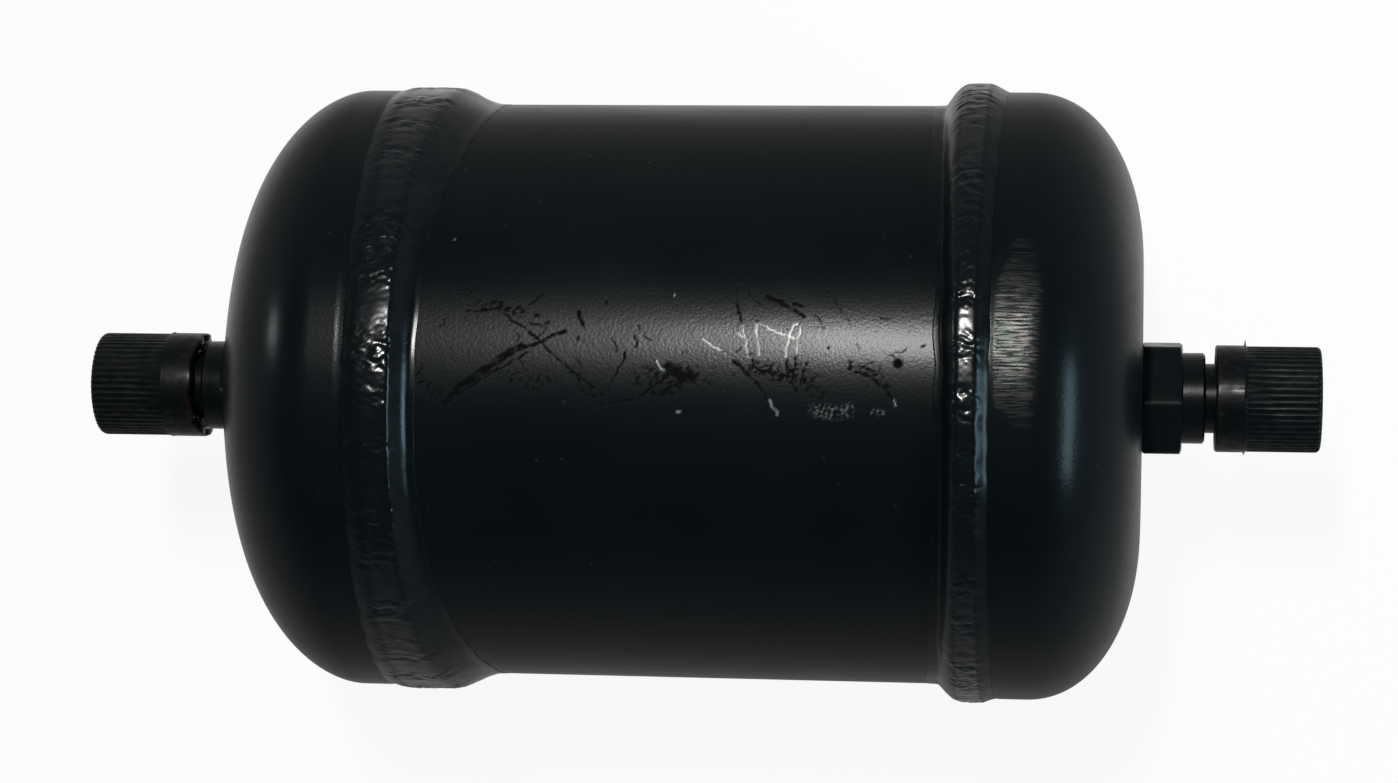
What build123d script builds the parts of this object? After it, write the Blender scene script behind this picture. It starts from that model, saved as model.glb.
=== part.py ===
from build123d import *
import math
import os

# Liquid-line filter drier: a welded steel shell with a drawn cup on each end, a flare
# fitting brazed through each cup, a moulded desiccant core held by a spring inside,
# and a ribbed plastic cap screwed over each flare thread.
#
# Millimetres. The shell lies along X with its centre at the origin. The inlet is at -X
# and the outlet at +X. A station is a distance from the centre along X, towards
# either end. A width is measured along X and a diameter across it.

# Shell tube
TUBE_DIAMETER = 76.2
TUBE_WALL = 1.6
TUBE_LENGTH = 88.0

# Drawn end cups, which sleeve over the tube's ends
CUP_WALL = 1.7
CUP_FIT = 0.1  # gap all round between the tube and the cup's skirt
CUP_OVERLAP = 5.6  # how far the skirt reaches back over the tube
KNUCKLE_DEPTH = 14.6  # along X, from the tube's end to the flat crown
CROWN_FLAT_DIAMETER = 34.6

# Weld beads between each cup's rim and the tube
BEAD_LAP = 1.6  # how far a bead runs over the cup's skirt
INLET_BEAD_WIDTH = 7.4  # from the rim to the bead's toe on the tube
INLET_BEAD_CREST = 2.4  # from the rim to the bead's highest line
INLET_BEAD_HEIGHT = 2.5  # above the tube
OUTLET_BEAD_WIDTH = 5.2
OUTLET_BEAD_CREST = 1.4
OUTLET_BEAD_HEIGHT = 3.2

# Flare fittings, turned from hexagon bar
HEX_SIDES = 6
HEX_ACROSS_FLATS = 14.0
HEX_WIDTH = 5.2
SHOULDER_DIAMETER = 11.9
SHOULDER_WIDTH = 2.95
SHOULDER_CHAMFER = 0.3
GROOVE_DEPTH = 1.005  # below the thread's crests
GROOVE_WIDTH = 1.6
THREAD_DIAMETER = 11.11
THREAD_PITCH = 1.27
THREAD_LENGTH = 9.0
THREAD_DEPTH = 0.75
NOSE_LAND_DEPTH = 0.805  # below the thread's crests
NOSE_LAND_WIDTH = 0.35
NOSE_CONE_WIDTH = 1.7  # a 45 degree seat, so the radius falls by as much
FLOW_BORE_DIAMETER = 4.8
SPIGOT_DIAMETER = 10.0
SPIGOT_REACH = 2.2  # past the crown's inner face
SPIGOT_FIT = 0.05

# Braze fillets round the spigots, inside the cups
BRAZE_FILLET = 1.5

# Plastic thread caps and their seal discs
CAP_RIM_GAP = 1.35  # from the fitting's shoulder to the cap's rim
CAP_THREAD_FIT = 0.1
CAP_COLLAR_WALL = 1.345  # outside the bore
CAP_COLLAR_WIDTH = 3.8
CAP_RIM_ROUND = 0.5
CAP_GRIP_STEP = 0.125  # from the collar down to the tops of the ribs
CAP_END_ROUND = 0.9
CAP_END_WALL = 1.3
CAP_RIBS = 56
CAP_RIB_DEPTH = 0.25
CAP_MOUTH_CHAMFER = 0.35
SEAL_THICKNESS = 0.9
SEAL_GAP = 0.1  # between the flare nose and the seal disc
SEAL_FIT = 0.2

# Perforated plate, trapped between the tube's outlet end and the cup's knuckle
PLATE_THICKNESS = 1.0
PLATE_FIT = 0.2
PLATE_HOLE_DIAMETER = 2.8
PLATE_HOLE_PITCH = 5.0  # between the rings of holes
PLATE_HOLE_RINGS = 3
HOLES_PER_RING_STEP = 6

# Wire-cloth screen and felt mat in the core's outlet end
SCREEN_THICKNESS = 0.4
MAT_THICKNESS = 7.0
MAT_DIAMETER = 42.0
MAT_FIT = 0.3

# Gasket between the core's outlet end and the plate
GASKET_THICKNESS = 1.5
GASKET_MAT_GAP = 2.0  # from the mat's edge to the gasket's hole
GASKET_INSET = 1.0  # from the core's side to the gasket's edge

# Moulded desiccant core
CORE_GAP = 4.5  # all round between the tube and the core
CORE_LENGTH = 60.0
CORE_BORE_DIAMETER = 16.0
CORE_BORE_DEPTH = 44.0
CORE_EDGE_ROUND = 2.0

# Pressed plate between the spring and the core: a shallow cup with centring tabs
FOLLOWER_THICKNESS = 1.2
FOLLOWER_CORE_FIT = 0.3  # gap all round between the core and the turned-over rim
FOLLOWER_RIM_WIDTH = 5.0  # how far the rim reaches along the core
FOLLOWER_TABS = 4
FOLLOWER_TAB_WIDTH = 14.0
FOLLOWER_TAB_FIT = 0.3  # gap between a tab's tip and the tube
FOLLOWER_BOSS_HEIGHT = 1.5

# Conical spring between the inlet cup's crown and the follower
SPRING_WIRE = 2.2
SPRING_LARGE_DIAMETER = 44.0  # middle of the wire, at the follower
SPRING_TURNS = 3.5
SPRING_SEAT_GAP = 0.1
SPRING_SEAT_FIT = 0.9  # gap round the braze fillet at one end and the boss at the other

# Angles
QUARTER_TURN = 90
HALF_TURN = 180

# Values worked out from the ones above
TUBE_RADIUS = TUBE_DIAMETER / 2
TUBE_BORE_RADIUS = TUBE_RADIUS - TUBE_WALL
TUBE_END = TUBE_LENGTH / 2
CUP_BORE_RADIUS = TUBE_RADIUS + CUP_FIT
CUP_RADIUS = CUP_BORE_RADIUS + CUP_WALL
CUP_RIM = TUBE_END - CUP_OVERLAP
CROWN_FLAT_RADIUS = CROWN_FLAT_DIAMETER / 2
CROWN = TUBE_END + KNUCKLE_DEPTH
CROWN_INSIDE = CROWN - CUP_WALL
SPIGOT_RADIUS = SPIGOT_DIAMETER / 2
SPIGOT_END = CROWN_INSIDE - SPIGOT_REACH
SPIGOT_HOLE_RADIUS = SPIGOT_RADIUS + SPIGOT_FIT
HEX_END = CROWN + HEX_WIDTH
SHOULDER_END = HEX_END + SHOULDER_WIDTH
GROOVE_END = SHOULDER_END + GROOVE_WIDTH
THREAD_RADIUS = THREAD_DIAMETER / 2
GROOVE_RADIUS = THREAD_RADIUS - GROOVE_DEPTH
THREAD_END = GROOVE_END + THREAD_LENGTH
NOSE_START = THREAD_END + NOSE_LAND_WIDTH
NOSE_TIP = NOSE_START + NOSE_CONE_WIDTH
NOSE_LAND_RADIUS = THREAD_RADIUS - NOSE_LAND_DEPTH
NOSE_TIP_RADIUS = NOSE_LAND_RADIUS - NOSE_CONE_WIDTH
CAP_RIM = SHOULDER_END + CAP_RIM_GAP
CAP_COLLAR_END = CAP_RIM + CAP_COLLAR_WIDTH
CAP_BORE_RADIUS = THREAD_RADIUS + CAP_THREAD_FIT
CAP_COLLAR_RADIUS = CAP_BORE_RADIUS + CAP_COLLAR_WALL
CAP_GRIP_RADIUS = CAP_COLLAR_RADIUS - CAP_GRIP_STEP
SEAL_START = NOSE_TIP + SEAL_GAP
CAP_FLOOR = SEAL_START + SEAL_THICKNESS
CAP_END = CAP_FLOOR + CAP_END_WALL
MAT_END = TUBE_END - SCREEN_THICKNESS
CORE_RADIUS = TUBE_BORE_RADIUS - CORE_GAP
CORE_OUTLET_END = TUBE_END - GASKET_THICKNESS
CORE_INLET_END = CORE_OUTLET_END - CORE_LENGTH
CORE_POCKET_FLOOR = MAT_END - MAT_THICKNESS
FOLLOWER_FACE = CORE_INLET_END - FOLLOWER_THICKNESS
GASKET_HOLE_DIAMETER = MAT_DIAMETER + 2 * GASKET_MAT_GAP
GASKET_DIAMETER = 2 * (CORE_RADIUS - GASKET_INSET)
FOLLOWER_RIM_RADIUS = CORE_RADIUS + FOLLOWER_CORE_FIT
SPRING_SMALL_RADIUS = SPIGOT_RADIUS + BRAZE_FILLET + SPRING_SEAT_FIT + SPRING_WIRE / 2
SPRING_LARGE_RADIUS = SPRING_LARGE_DIAMETER / 2

ENDS = ("inlet", "outlet")
BEAD = {
    "inlet": (INLET_BEAD_WIDTH, INLET_BEAD_CREST, INLET_BEAD_HEIGHT),
    "outlet": (OUTLET_BEAD_WIDTH, OUTLET_BEAD_CREST, OUTLET_BEAD_HEIGHT),
}
# On each of these planes local X runs outwards along the shell and local Y is a radius.
SECTION = {
    "inlet": Plane(origin=(0, 0, 0), x_dir=(-1, 0, 0), z_dir=(0, 1, 0)),
    "outlet": Plane(origin=(0, 0, 0), x_dir=(1, 0, 0), z_dir=(0, -1, 0)),
}


def across(end, station):
    """The plane square to the shell at a station, facing outwards, with its local X up."""
    outwards = 1 if end == "outlet" else -1
    return Plane(origin=(outwards * station, 0, 0), x_dir=(0, 0, 1), z_dir=(outwards, 0, 0))


def save(builder, name):
    """Labels a finished piece and writes it to its own file."""
    builder.part.label = name
    export_step(builder.part, f"parts/{name}.step")


def shell_tube():
    """Welded steel tube, open at both ends."""
    with BuildPart() as tube:
        with BuildSketch(across("outlet", -TUBE_END)):
            Circle(TUBE_RADIUS)
            Circle(TUBE_BORE_RADIUS, mode=Mode.SUBTRACT)
        extrude(amount=TUBE_LENGTH)
    save(tube, "shell_tube")


def end_cup(end):
    """Deep-drawn cup: straight skirt, elliptical knuckle and flat crown with one hole."""
    knuckle_height = CUP_RADIUS - CROWN_FLAT_RADIUS
    knuckle_centre = (TUBE_END, CROWN_FLAT_RADIUS)
    with BuildPart() as cup:
        with BuildSketch(SECTION[end]):
            with BuildLine():
                outer_knuckle = EllipticalCenterArc(
                    knuckle_centre, KNUCKLE_DEPTH, knuckle_height, 0, arc_size=QUARTER_TURN
                )
                inner_knuckle = EllipticalCenterArc(
                    knuckle_centre,
                    KNUCKLE_DEPTH - CUP_WALL,
                    knuckle_height - CUP_WALL,
                    0,
                    arc_size=QUARTER_TURN,
                )
                Polyline(
                    outer_knuckle @ 0,
                    (CROWN, SPIGOT_HOLE_RADIUS),
                    (CROWN_INSIDE, SPIGOT_HOLE_RADIUS),
                    inner_knuckle @ 0,
                )
                Polyline(
                    outer_knuckle @ 1,
                    (CUP_RIM, CUP_RADIUS),
                    (CUP_RIM, CUP_BORE_RADIUS),
                    inner_knuckle @ 1,
                )
            make_face()
        revolve(axis=Axis.X)
    save(cup, f"{end}_end_cup")


def weld_bead(end):
    """Fillet weld that fills the step from the tube to the cup's rim and laps over the cup."""
    width, crest, height = BEAD[end]
    toe = (CUP_RIM - width, TUBE_RADIUS)
    top = (CUP_RIM - crest, TUBE_RADIUS + height)
    valley = (CUP_RIM + BEAD_LAP, CUP_RADIUS)
    with BuildPart() as bead:
        with BuildSketch(SECTION[end]):
            with BuildLine():
                Spline(toe, top, valley)
                Polyline(valley, (CUP_RIM, CUP_RADIUS), (CUP_RIM, TUBE_RADIUS), toe)
            make_face()
        revolve(axis=Axis.X)
    save(bead, f"{end}_weld_bead")


def flare_fitting(end):
    """Spigot, hexagon, shoulder, relief groove, thread and 45 degree flare nose in one piece."""
    thread_count = int(THREAD_LENGTH / THREAD_PITCH)
    shoulder_radius = SHOULDER_DIAMETER / 2
    with BuildPart() as fitting:
        with BuildSketch(SECTION[end]):
            with BuildLine():
                Polyline(
                    (SPIGOT_END, 0),
                    (SPIGOT_END, SPIGOT_RADIUS),
                    (CROWN, SPIGOT_RADIUS),
                    (HEX_END, SPIGOT_RADIUS),
                    (HEX_END, shoulder_radius),
                    (SHOULDER_END - SHOULDER_CHAMFER, shoulder_radius),
                    (SHOULDER_END, shoulder_radius - SHOULDER_CHAMFER),
                    (SHOULDER_END, GROOVE_RADIUS),
                    (GROOVE_END, GROOVE_RADIUS),
                    (GROOVE_END + THREAD_DEPTH, THREAD_RADIUS),
                    (THREAD_END - THREAD_DEPTH, THREAD_RADIUS),
                    (THREAD_END, THREAD_RADIUS - THREAD_DEPTH),
                    (NOSE_START, NOSE_LAND_RADIUS),
                    (NOSE_TIP, NOSE_TIP_RADIUS),
                    (NOSE_TIP, 0),
                    close=True,
                )
            make_face()
        revolve(axis=Axis.X)
        with BuildSketch(across(end, CROWN)):
            RegularPolygon(HEX_ACROSS_FLATS / 2, HEX_SIDES, major_radius=False)
        extrude(amount=HEX_WIDTH)
        with BuildSketch(SECTION[end]):
            thread_middle = (GROOVE_END + THREAD_END) / 2
            with Locations((thread_middle, THREAD_RADIUS - THREAD_DEPTH)):
                with GridLocations(THREAD_PITCH, 0, thread_count, 1):
                    Polygon(
                        (0, 0),
                        (THREAD_PITCH / 2, THREAD_DEPTH),
                        (-THREAD_PITCH / 2, THREAD_DEPTH),
                        align=None,
                    )
        revolve(axis=Axis.X, mode=Mode.SUBTRACT)
        with BuildSketch(across(end, SPIGOT_END)):
            Circle(FLOW_BORE_DIAMETER / 2)
        extrude(amount=NOSE_TIP - SPIGOT_END, mode=Mode.SUBTRACT)
    save(fitting, f"{end}_flare_fitting")


def braze_ring(end):
    """Fillet of braze metal between the spigot and the crown's inner face."""
    with BuildPart() as ring:
        with BuildSketch(SECTION[end]):
            with BuildLine():
                Polyline(
                    (CROWN_INSIDE - BRAZE_FILLET, SPIGOT_RADIUS),
                    (CROWN_INSIDE, SPIGOT_RADIUS),
                    (CROWN_INSIDE, SPIGOT_RADIUS + BRAZE_FILLET),
                    close=True,
                )
            make_face()
        revolve(axis=Axis.X)
    save(ring, f"{end}_braze_ring")


def thread_cap(end):
    """Moulded screw cap: smooth collar at the mouth, fine ribs to the closed end."""
    rib_pitch = 2 * math.pi * CAP_GRIP_RADIUS / CAP_RIBS
    rim_arc_centre = (CAP_RIM + CAP_RIM_ROUND, CAP_COLLAR_RADIUS - CAP_RIM_ROUND)
    end_arc_centre = (CAP_END - CAP_END_ROUND, CAP_GRIP_RADIUS - CAP_END_ROUND)
    with BuildPart() as cap:
        with BuildSketch(SECTION[end]):
            with BuildLine():
                Polyline(
                    (CAP_RIM, CAP_BORE_RADIUS + CAP_MOUTH_CHAMFER),
                    (CAP_RIM, CAP_COLLAR_RADIUS - CAP_RIM_ROUND),
                )
                CenterArc(rim_arc_centre, CAP_RIM_ROUND, HALF_TURN, -QUARTER_TURN)
                Polyline(
                    (CAP_RIM + CAP_RIM_ROUND, CAP_COLLAR_RADIUS),
                    (CAP_COLLAR_END, CAP_COLLAR_RADIUS),
                    (CAP_COLLAR_END, CAP_GRIP_RADIUS),
                    (CAP_END - CAP_END_ROUND, CAP_GRIP_RADIUS),
                )
                CenterArc(end_arc_centre, CAP_END_ROUND, QUARTER_TURN, -QUARTER_TURN)
                Polyline(
                    (CAP_END, CAP_GRIP_RADIUS - CAP_END_ROUND),
                    (CAP_END, 0),
                    (CAP_FLOOR, 0),
                    (CAP_FLOOR, CAP_BORE_RADIUS),
                    (CAP_RIM + CAP_MOUTH_CHAMFER, CAP_BORE_RADIUS),
                    (CAP_RIM, CAP_BORE_RADIUS + CAP_MOUTH_CHAMFER),
                )
            make_face()
        revolve(axis=Axis.X)
        with BuildSketch(across(end, CAP_COLLAR_END)):
            with PolarLocations(CAP_GRIP_RADIUS, CAP_RIBS):
                Polygon(
                    (-CAP_RIB_DEPTH, 0),
                    (CAP_RIB_DEPTH, -rib_pitch / 2),
                    (CAP_RIB_DEPTH, rib_pitch / 2),
                    align=None,
                )
        extrude(amount=CAP_END - CAP_COLLAR_END, mode=Mode.SUBTRACT)
    save(cap, f"{end}_thread_cap")


def cap_seal(end):
    """Rubber disc that lies on the cap's floor."""
    with BuildPart() as seal:
        with BuildSketch(across(end, SEAL_START)):
            Circle(CAP_BORE_RADIUS - SEAL_FIT)
        extrude(amount=SEAL_THICKNESS)
    save(seal, f"{end}_cap_seal")


def perforated_plate():
    """Steel disc on the tube's outlet end, drilled over the mat in rings."""
    with BuildPart() as plate:
        with BuildSketch(across("outlet", TUBE_END)):
            Circle(CUP_BORE_RADIUS - PLATE_FIT)
            Circle(PLATE_HOLE_DIAMETER / 2, mode=Mode.SUBTRACT)
            for ring in range(1, PLATE_HOLE_RINGS + 1):
                with PolarLocations(ring * PLATE_HOLE_PITCH, ring * HOLES_PER_RING_STEP):
                    Circle(PLATE_HOLE_DIAMETER / 2, mode=Mode.SUBTRACT)
        extrude(amount=PLATE_THICKNESS)
    save(plate, "perforated_plate")


def disc(name, end_station, thickness, diameter, hole_diameter=0):
    """A flat disc or washer whose outlet face is at a station."""
    with BuildPart() as washer:
        with BuildSketch(across("outlet", end_station - thickness)):
            Circle(diameter / 2)
            if hole_diameter:
                Circle(hole_diameter / 2, mode=Mode.SUBTRACT)
        extrude(amount=thickness)
    save(washer, name)


def desiccant_core():
    """Moulded block with a blind bore and a pocket for the mat, both open to the outlet."""
    pocket_radius = MAT_DIAMETER / 2 + MAT_FIT
    bore_floor = CORE_OUTLET_END - CORE_BORE_DEPTH
    with BuildPart() as core:
        with BuildSketch(SECTION["outlet"]):
            with BuildLine():
                Polyline(
                    (CORE_INLET_END + CORE_EDGE_ROUND, CORE_RADIUS),
                    (CORE_OUTLET_END, CORE_RADIUS),
                    (CORE_OUTLET_END, pocket_radius),
                    (CORE_POCKET_FLOOR, pocket_radius),
                    (CORE_POCKET_FLOOR, CORE_BORE_DIAMETER / 2),
                    (bore_floor, CORE_BORE_DIAMETER / 2),
                    (bore_floor, 0),
                    (CORE_INLET_END, 0),
                    (CORE_INLET_END, CORE_RADIUS - CORE_EDGE_ROUND),
                )
                CenterArc(
                    (CORE_INLET_END + CORE_EDGE_ROUND, CORE_RADIUS - CORE_EDGE_ROUND),
                    CORE_EDGE_ROUND,
                    HALF_TURN,
                    -QUARTER_TURN,
                )
            make_face()
        revolve(axis=Axis.X)
    save(core, "desiccant_core")


def spring_follower():
    """Shallow pressed cup on the core's inlet end, with tabs out to the tube and a boss in the spring."""
    tab_radius = TUBE_BORE_RADIUS - FOLLOWER_TAB_FIT
    boss_radius = SPRING_LARGE_RADIUS - SPRING_WIRE / 2 - SPRING_SEAT_FIT
    with BuildPart() as follower:
        with BuildSketch(across("outlet", FOLLOWER_FACE)):
            with PolarLocations(0, FOLLOWER_TABS):
                Rectangle(tab_radius, FOLLOWER_TAB_WIDTH, align=(Align.MIN, Align.CENTER))
            Circle(FOLLOWER_RIM_RADIUS + FOLLOWER_THICKNESS)
            Circle(tab_radius, mode=Mode.INTERSECT)
        extrude(amount=FOLLOWER_THICKNESS)
        with BuildSketch(across("outlet", CORE_INLET_END)):
            Circle(FOLLOWER_RIM_RADIUS + FOLLOWER_THICKNESS)
            Circle(FOLLOWER_RIM_RADIUS, mode=Mode.SUBTRACT)
        extrude(amount=FOLLOWER_RIM_WIDTH)
        with BuildSketch(across("outlet", FOLLOWER_FACE)):
            Circle(boss_radius)
        extrude(amount=-FOLLOWER_BOSS_HEIGHT)
    save(follower, "spring_follower")


def core_spring():
    """Conical compression spring with its small end against the inlet cup's crown."""
    first = -CROWN_INSIDE + SPRING_SEAT_GAP + SPRING_WIRE / 2
    last = FOLLOWER_FACE - SPRING_SEAT_GAP - SPRING_WIRE / 2
    length = last - first
    growth = SPRING_LARGE_RADIUS - SPRING_SMALL_RADIUS
    with BuildPart() as spring:
        with BuildLine() as coil:
            Helix(
                length / SPRING_TURNS,
                length,
                SPRING_SMALL_RADIUS,
                center=(first, 0, 0),
                direction=(1, 0, 0),
                cone_angle=math.degrees(math.atan2(growth, length)),
            )
        with BuildSketch(Plane(origin=coil.line @ 0, z_dir=coil.line % 0)):
            Circle(SPRING_WIRE / 2)
        sweep(path=coil.line, is_frenet=True)
    save(spring, "core_spring")


os.makedirs("parts", exist_ok=True)
shell_tube()
for each_end in ENDS:
    end_cup(each_end)
    weld_bead(each_end)
    flare_fitting(each_end)
    braze_ring(each_end)
    thread_cap(each_end)
    cap_seal(each_end)
perforated_plate()
disc("outlet_screen", TUBE_END, SCREEN_THICKNESS, MAT_DIAMETER)
disc("outlet_mat", MAT_END, MAT_THICKNESS, MAT_DIAMETER)
disc("core_gasket", TUBE_END, GASKET_THICKNESS, GASKET_DIAMETER, GASKET_HOLE_DIAMETER)
desiccant_core()
spring_follower()
core_spring()
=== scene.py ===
# %% [markdown]
# # Dressing a filter drier
# The drier arrives as twenty plain solids in one shared frame. X runs along the shell from the
# inlet to the outlet, Z is up, and the origin is the middle of the shell. Everything that
# moves or fits is already right, so this lesson only gives each piece its true surface: weld
# ripples, cut threads, moulded ribs, scratched paint. Each step says what the piece is on the
# real object, how it could be made, and why this way was chosen.

# %% Load the frame
import math

import bpy
import numpy as np
from mathutils import Matrix, Vector


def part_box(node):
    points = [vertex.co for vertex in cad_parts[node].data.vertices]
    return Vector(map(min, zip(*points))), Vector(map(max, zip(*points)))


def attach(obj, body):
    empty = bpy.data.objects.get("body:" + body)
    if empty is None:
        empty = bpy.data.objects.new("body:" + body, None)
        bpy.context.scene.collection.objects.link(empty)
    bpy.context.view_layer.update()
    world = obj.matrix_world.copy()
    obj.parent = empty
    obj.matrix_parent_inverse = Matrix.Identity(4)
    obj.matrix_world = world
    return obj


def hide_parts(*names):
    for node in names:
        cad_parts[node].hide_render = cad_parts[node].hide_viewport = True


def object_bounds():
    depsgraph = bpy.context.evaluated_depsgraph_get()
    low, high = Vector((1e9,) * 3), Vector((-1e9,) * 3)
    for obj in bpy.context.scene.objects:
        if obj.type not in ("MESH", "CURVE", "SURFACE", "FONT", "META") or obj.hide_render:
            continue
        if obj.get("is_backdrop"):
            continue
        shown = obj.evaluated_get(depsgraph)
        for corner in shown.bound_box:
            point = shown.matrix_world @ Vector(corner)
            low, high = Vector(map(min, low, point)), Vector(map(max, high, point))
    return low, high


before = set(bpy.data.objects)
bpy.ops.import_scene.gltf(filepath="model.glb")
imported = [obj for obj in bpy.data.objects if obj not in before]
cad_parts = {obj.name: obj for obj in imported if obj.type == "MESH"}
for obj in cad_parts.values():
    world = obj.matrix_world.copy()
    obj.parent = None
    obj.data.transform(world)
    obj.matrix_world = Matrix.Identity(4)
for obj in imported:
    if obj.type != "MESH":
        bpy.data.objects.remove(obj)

cad_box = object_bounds()

# %% [markdown]
# Sizes come from the frame wherever it can give them. A node's box says where a piece starts
# and ends along X and how far it reaches from the shell's line, and only what a box can't
# show, such as a chamfer or a groove, is written here as a value of its own. A *station* is a
# distance from the middle of the shell towards either end.

# %% Sizes read from the frame
MM = 0.001
FULL_TURN = 2 * math.pi
ENDS = {"inlet": -1, "outlet": 1}


def stations(node):
    """Nearest and furthest distance of a node from the middle of the shell, along X."""
    low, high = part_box(node)
    return sorted((abs(low.x), abs(high.x)))


def reach(node):
    """How far a round node reaches from the shell's line."""
    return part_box(node)[1].y


TUBE_END = stations("shell_tube")[1]
TUBE_RADIUS = reach("shell_tube")
TUBE_WALL = 1.6 * MM
CUP_RIM, CROWN = stations("outlet_end_cup")
CUP_RADIUS = reach("outlet_end_cup")
CUP_WALL = 1.7 * MM
SPIGOT_END, NOSE_TIP = stations("outlet_flare_fitting")
HEX_HALF_WIDTH = reach("outlet_flare_fitting")
CAP_RIM, CAP_END = stations("outlet_thread_cap")
CAP_RADIUS = reach("outlet_thread_cap")
print("tube radius", round(TUBE_RADIUS / MM, 2), "crown at", round(CROWN / MM, 2))

# %% [markdown]
# ## The camera
# The drier lies on its side and the camera looks almost straight down at it, a little from
# the outlet's side and a little from +Y, from less than half a metre away. A camera could be
# aimed by hand, but writing down its distance and its three small angles keeps the view a
# matter of numbers, and the same numbers later tell where a picture point falls on the paint.

# %% Camera
PICTURE_WIDTH = 1398
PICTURE_HEIGHT = 783
CAMERA_DISTANCE = 454 * MM
CAMERA_SWING = math.radians(7.1)
CAMERA_LIFT = math.radians(4.5)
CAMERA_ROLL = math.radians(0.225)
PIXEL_SIZE = 0.13345 * MM  # at the shell's line
SENSOR_WIDTH = 36


def camera_axes(swing, lift, roll):
    """Right, up and back of a camera that starts above the drier, swings towards +X, lifts
    towards +Y and then rolls: back is (sin swing cos lift, sin lift, cos swing cos lift)."""
    right = Vector((math.cos(swing), 0, -math.sin(swing)))
    level, upright = math.cos(lift), math.sin(lift)
    back = Vector((math.sin(swing) * level, upright, math.cos(swing) * level))
    rolled_right = right * math.cos(roll) + back.cross(right) * math.sin(roll)
    return rolled_right, back.cross(rolled_right), back


camera_data = bpy.data.cameras.new("camera")
camera_data.sensor_width = SENSOR_WIDTH
camera_data.lens = SENSOR_WIDTH * CAMERA_DISTANCE / (PICTURE_WIDTH * PIXEL_SIZE)
camera_data.clip_start = 0.01
camera_data.clip_end = 20
camera = bpy.data.objects.new("camera", camera_data)
bpy.context.scene.collection.objects.link(camera)
right, up, back = camera_axes(CAMERA_SWING, CAMERA_LIFT, CAMERA_ROLL)
camera_place = back * CAMERA_DISTANCE
camera_turn = Matrix((right, up, back)).transposed().to_4x4()
camera.matrix_world = Matrix.Translation(camera_place) @ camera_turn
bpy.context.scene.camera = camera
print("lens", round(camera_data.lens, 1), "mm")

# %% [markdown]
# ## Surfaces as arrays
# Every piece of a drier is turned, drawn, rolled or moulded round one line, so every piece is
# a grid: rows along the outline, columns round the line. numpy works out all the points at
# once, and a small helper hands them to a mesh. The outline is a closed loop for a wall that
# has an inside and an outside, or runs from a point on the line to another for a closed end.

# %% Points and faces of a grid


def around(station, radius, angle):
    """Points at a station along X and a radius from the shell's line. The angle starts at +Z
    and turns towards +Y, so a point is (station, radius sin angle, radius cos angle)."""
    station, radius, angle = np.broadcast_arrays(station, radius, angle)
    return np.stack([station, radius * np.sin(angle), radius * np.cos(angle)], axis=-1)


def grid_faces(rows, columns, closed_rows):
    """Corner numbers of a grid's quads. Columns always join up all round, and the last row
    joins the first where closed_rows says so."""
    row = np.arange(rows if closed_rows else rows - 1)[:, None]
    column = np.arange(columns)[None, :]
    next_row = (row + 1) % rows
    next_column = (column + 1) % columns
    corners = (
        row * columns + column,
        next_row * columns + column,
        next_row * columns + next_column,
        row * columns + next_column,
    )
    return np.stack(np.broadcast_arrays(*corners), axis=-1).reshape(-1, 4)


def pole_faces(rows, columns, pole, at_start):
    """Corner numbers of the triangles between the first or last row and a point on the line."""
    here = np.arange(columns) + (0 if at_start else (rows - 1) * columns)
    there = np.roll(here, -1)
    ring = (here, there) if at_start else (there, here)
    return np.stack((np.full(columns, pole), *ring), axis=-1)


print("a closed grid of 3 rows and 8 columns has", len(grid_faces(3, 8, True)), "quads")

# %% From a grid to a mesh


def piece_from_grid(name, points, poles=None):
    """A mesh object from a grid of points, rows by columns by 3. With no poles the outline
    closes on itself. With poles, the pair of points on the line where it starts and ends."""
    rows, columns = points.shape[:2]
    vertices = points.reshape(-1, 3)
    faces = grid_faces(rows, columns, closed_rows=poles is None).tolist()
    if poles is not None:
        count = len(vertices)
        vertices = np.concatenate([vertices, np.array(poles)])
        faces += pole_faces(rows, columns, count, at_start=True).tolist()
        faces += pole_faces(rows, columns, count + 1, at_start=False).tolist()
    mesh = bpy.data.meshes.new(name)
    mesh.from_pydata(vertices, [], faces)
    mesh.polygons.foreach_set("use_smooth", np.ones(len(faces), dtype=bool))
    piece = bpy.data.objects.new(name, mesh)
    bpy.context.scene.collection.objects.link(piece)
    triangles = sum(len(face) - 2 for face in faces)
    print(f"{name}: {rows} x {columns} points, {triangles} triangles")
    return piece


def outwards(end, rows):
    """Rows given from the middle of the shell outwards. At the inlet they run the other way,
    so that the faces still look outwards."""
    return rows if end == "outlet" else rows[::-1]


def turned(end, station, radius, angle):
    """Points of an outline given from the middle outwards, for either end."""
    return outwards(end, around(ENDS[end] * station, radius, angle))


def outline_grid(parts, angle):
    """(stations, radii) of parts that follow each other along an outline, carried round every
    angle. A part is a list of (station, radius) corners, or a pair of arrays."""
    grids = []
    for part in parts:
        station, radius = part if isinstance(part, tuple) else np.array(part).T[..., None]
        grids.append(np.broadcast_arrays(station, radius, angle)[:2])
    return [np.vstack(pieces) for pieces in zip(*grids)]


def add_attribute(piece, name, values):
    """A number on each point of the mesh, which a material can read by name."""
    attribute = piece.data.attributes.new(name, "FLOAT", "POINT")
    padded = np.zeros(len(piece.data.vertices))
    padded[: values.size] = values.ravel()
    attribute.data.foreach_set("value", padded)


def keep_creases(piece, degrees):
    """Shades smoothly, except over edges that are sharper than the angle."""
    piece.data.set_sharp_from_angle(angle=math.radians(degrees))


# %% Spacing and waviness


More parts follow.
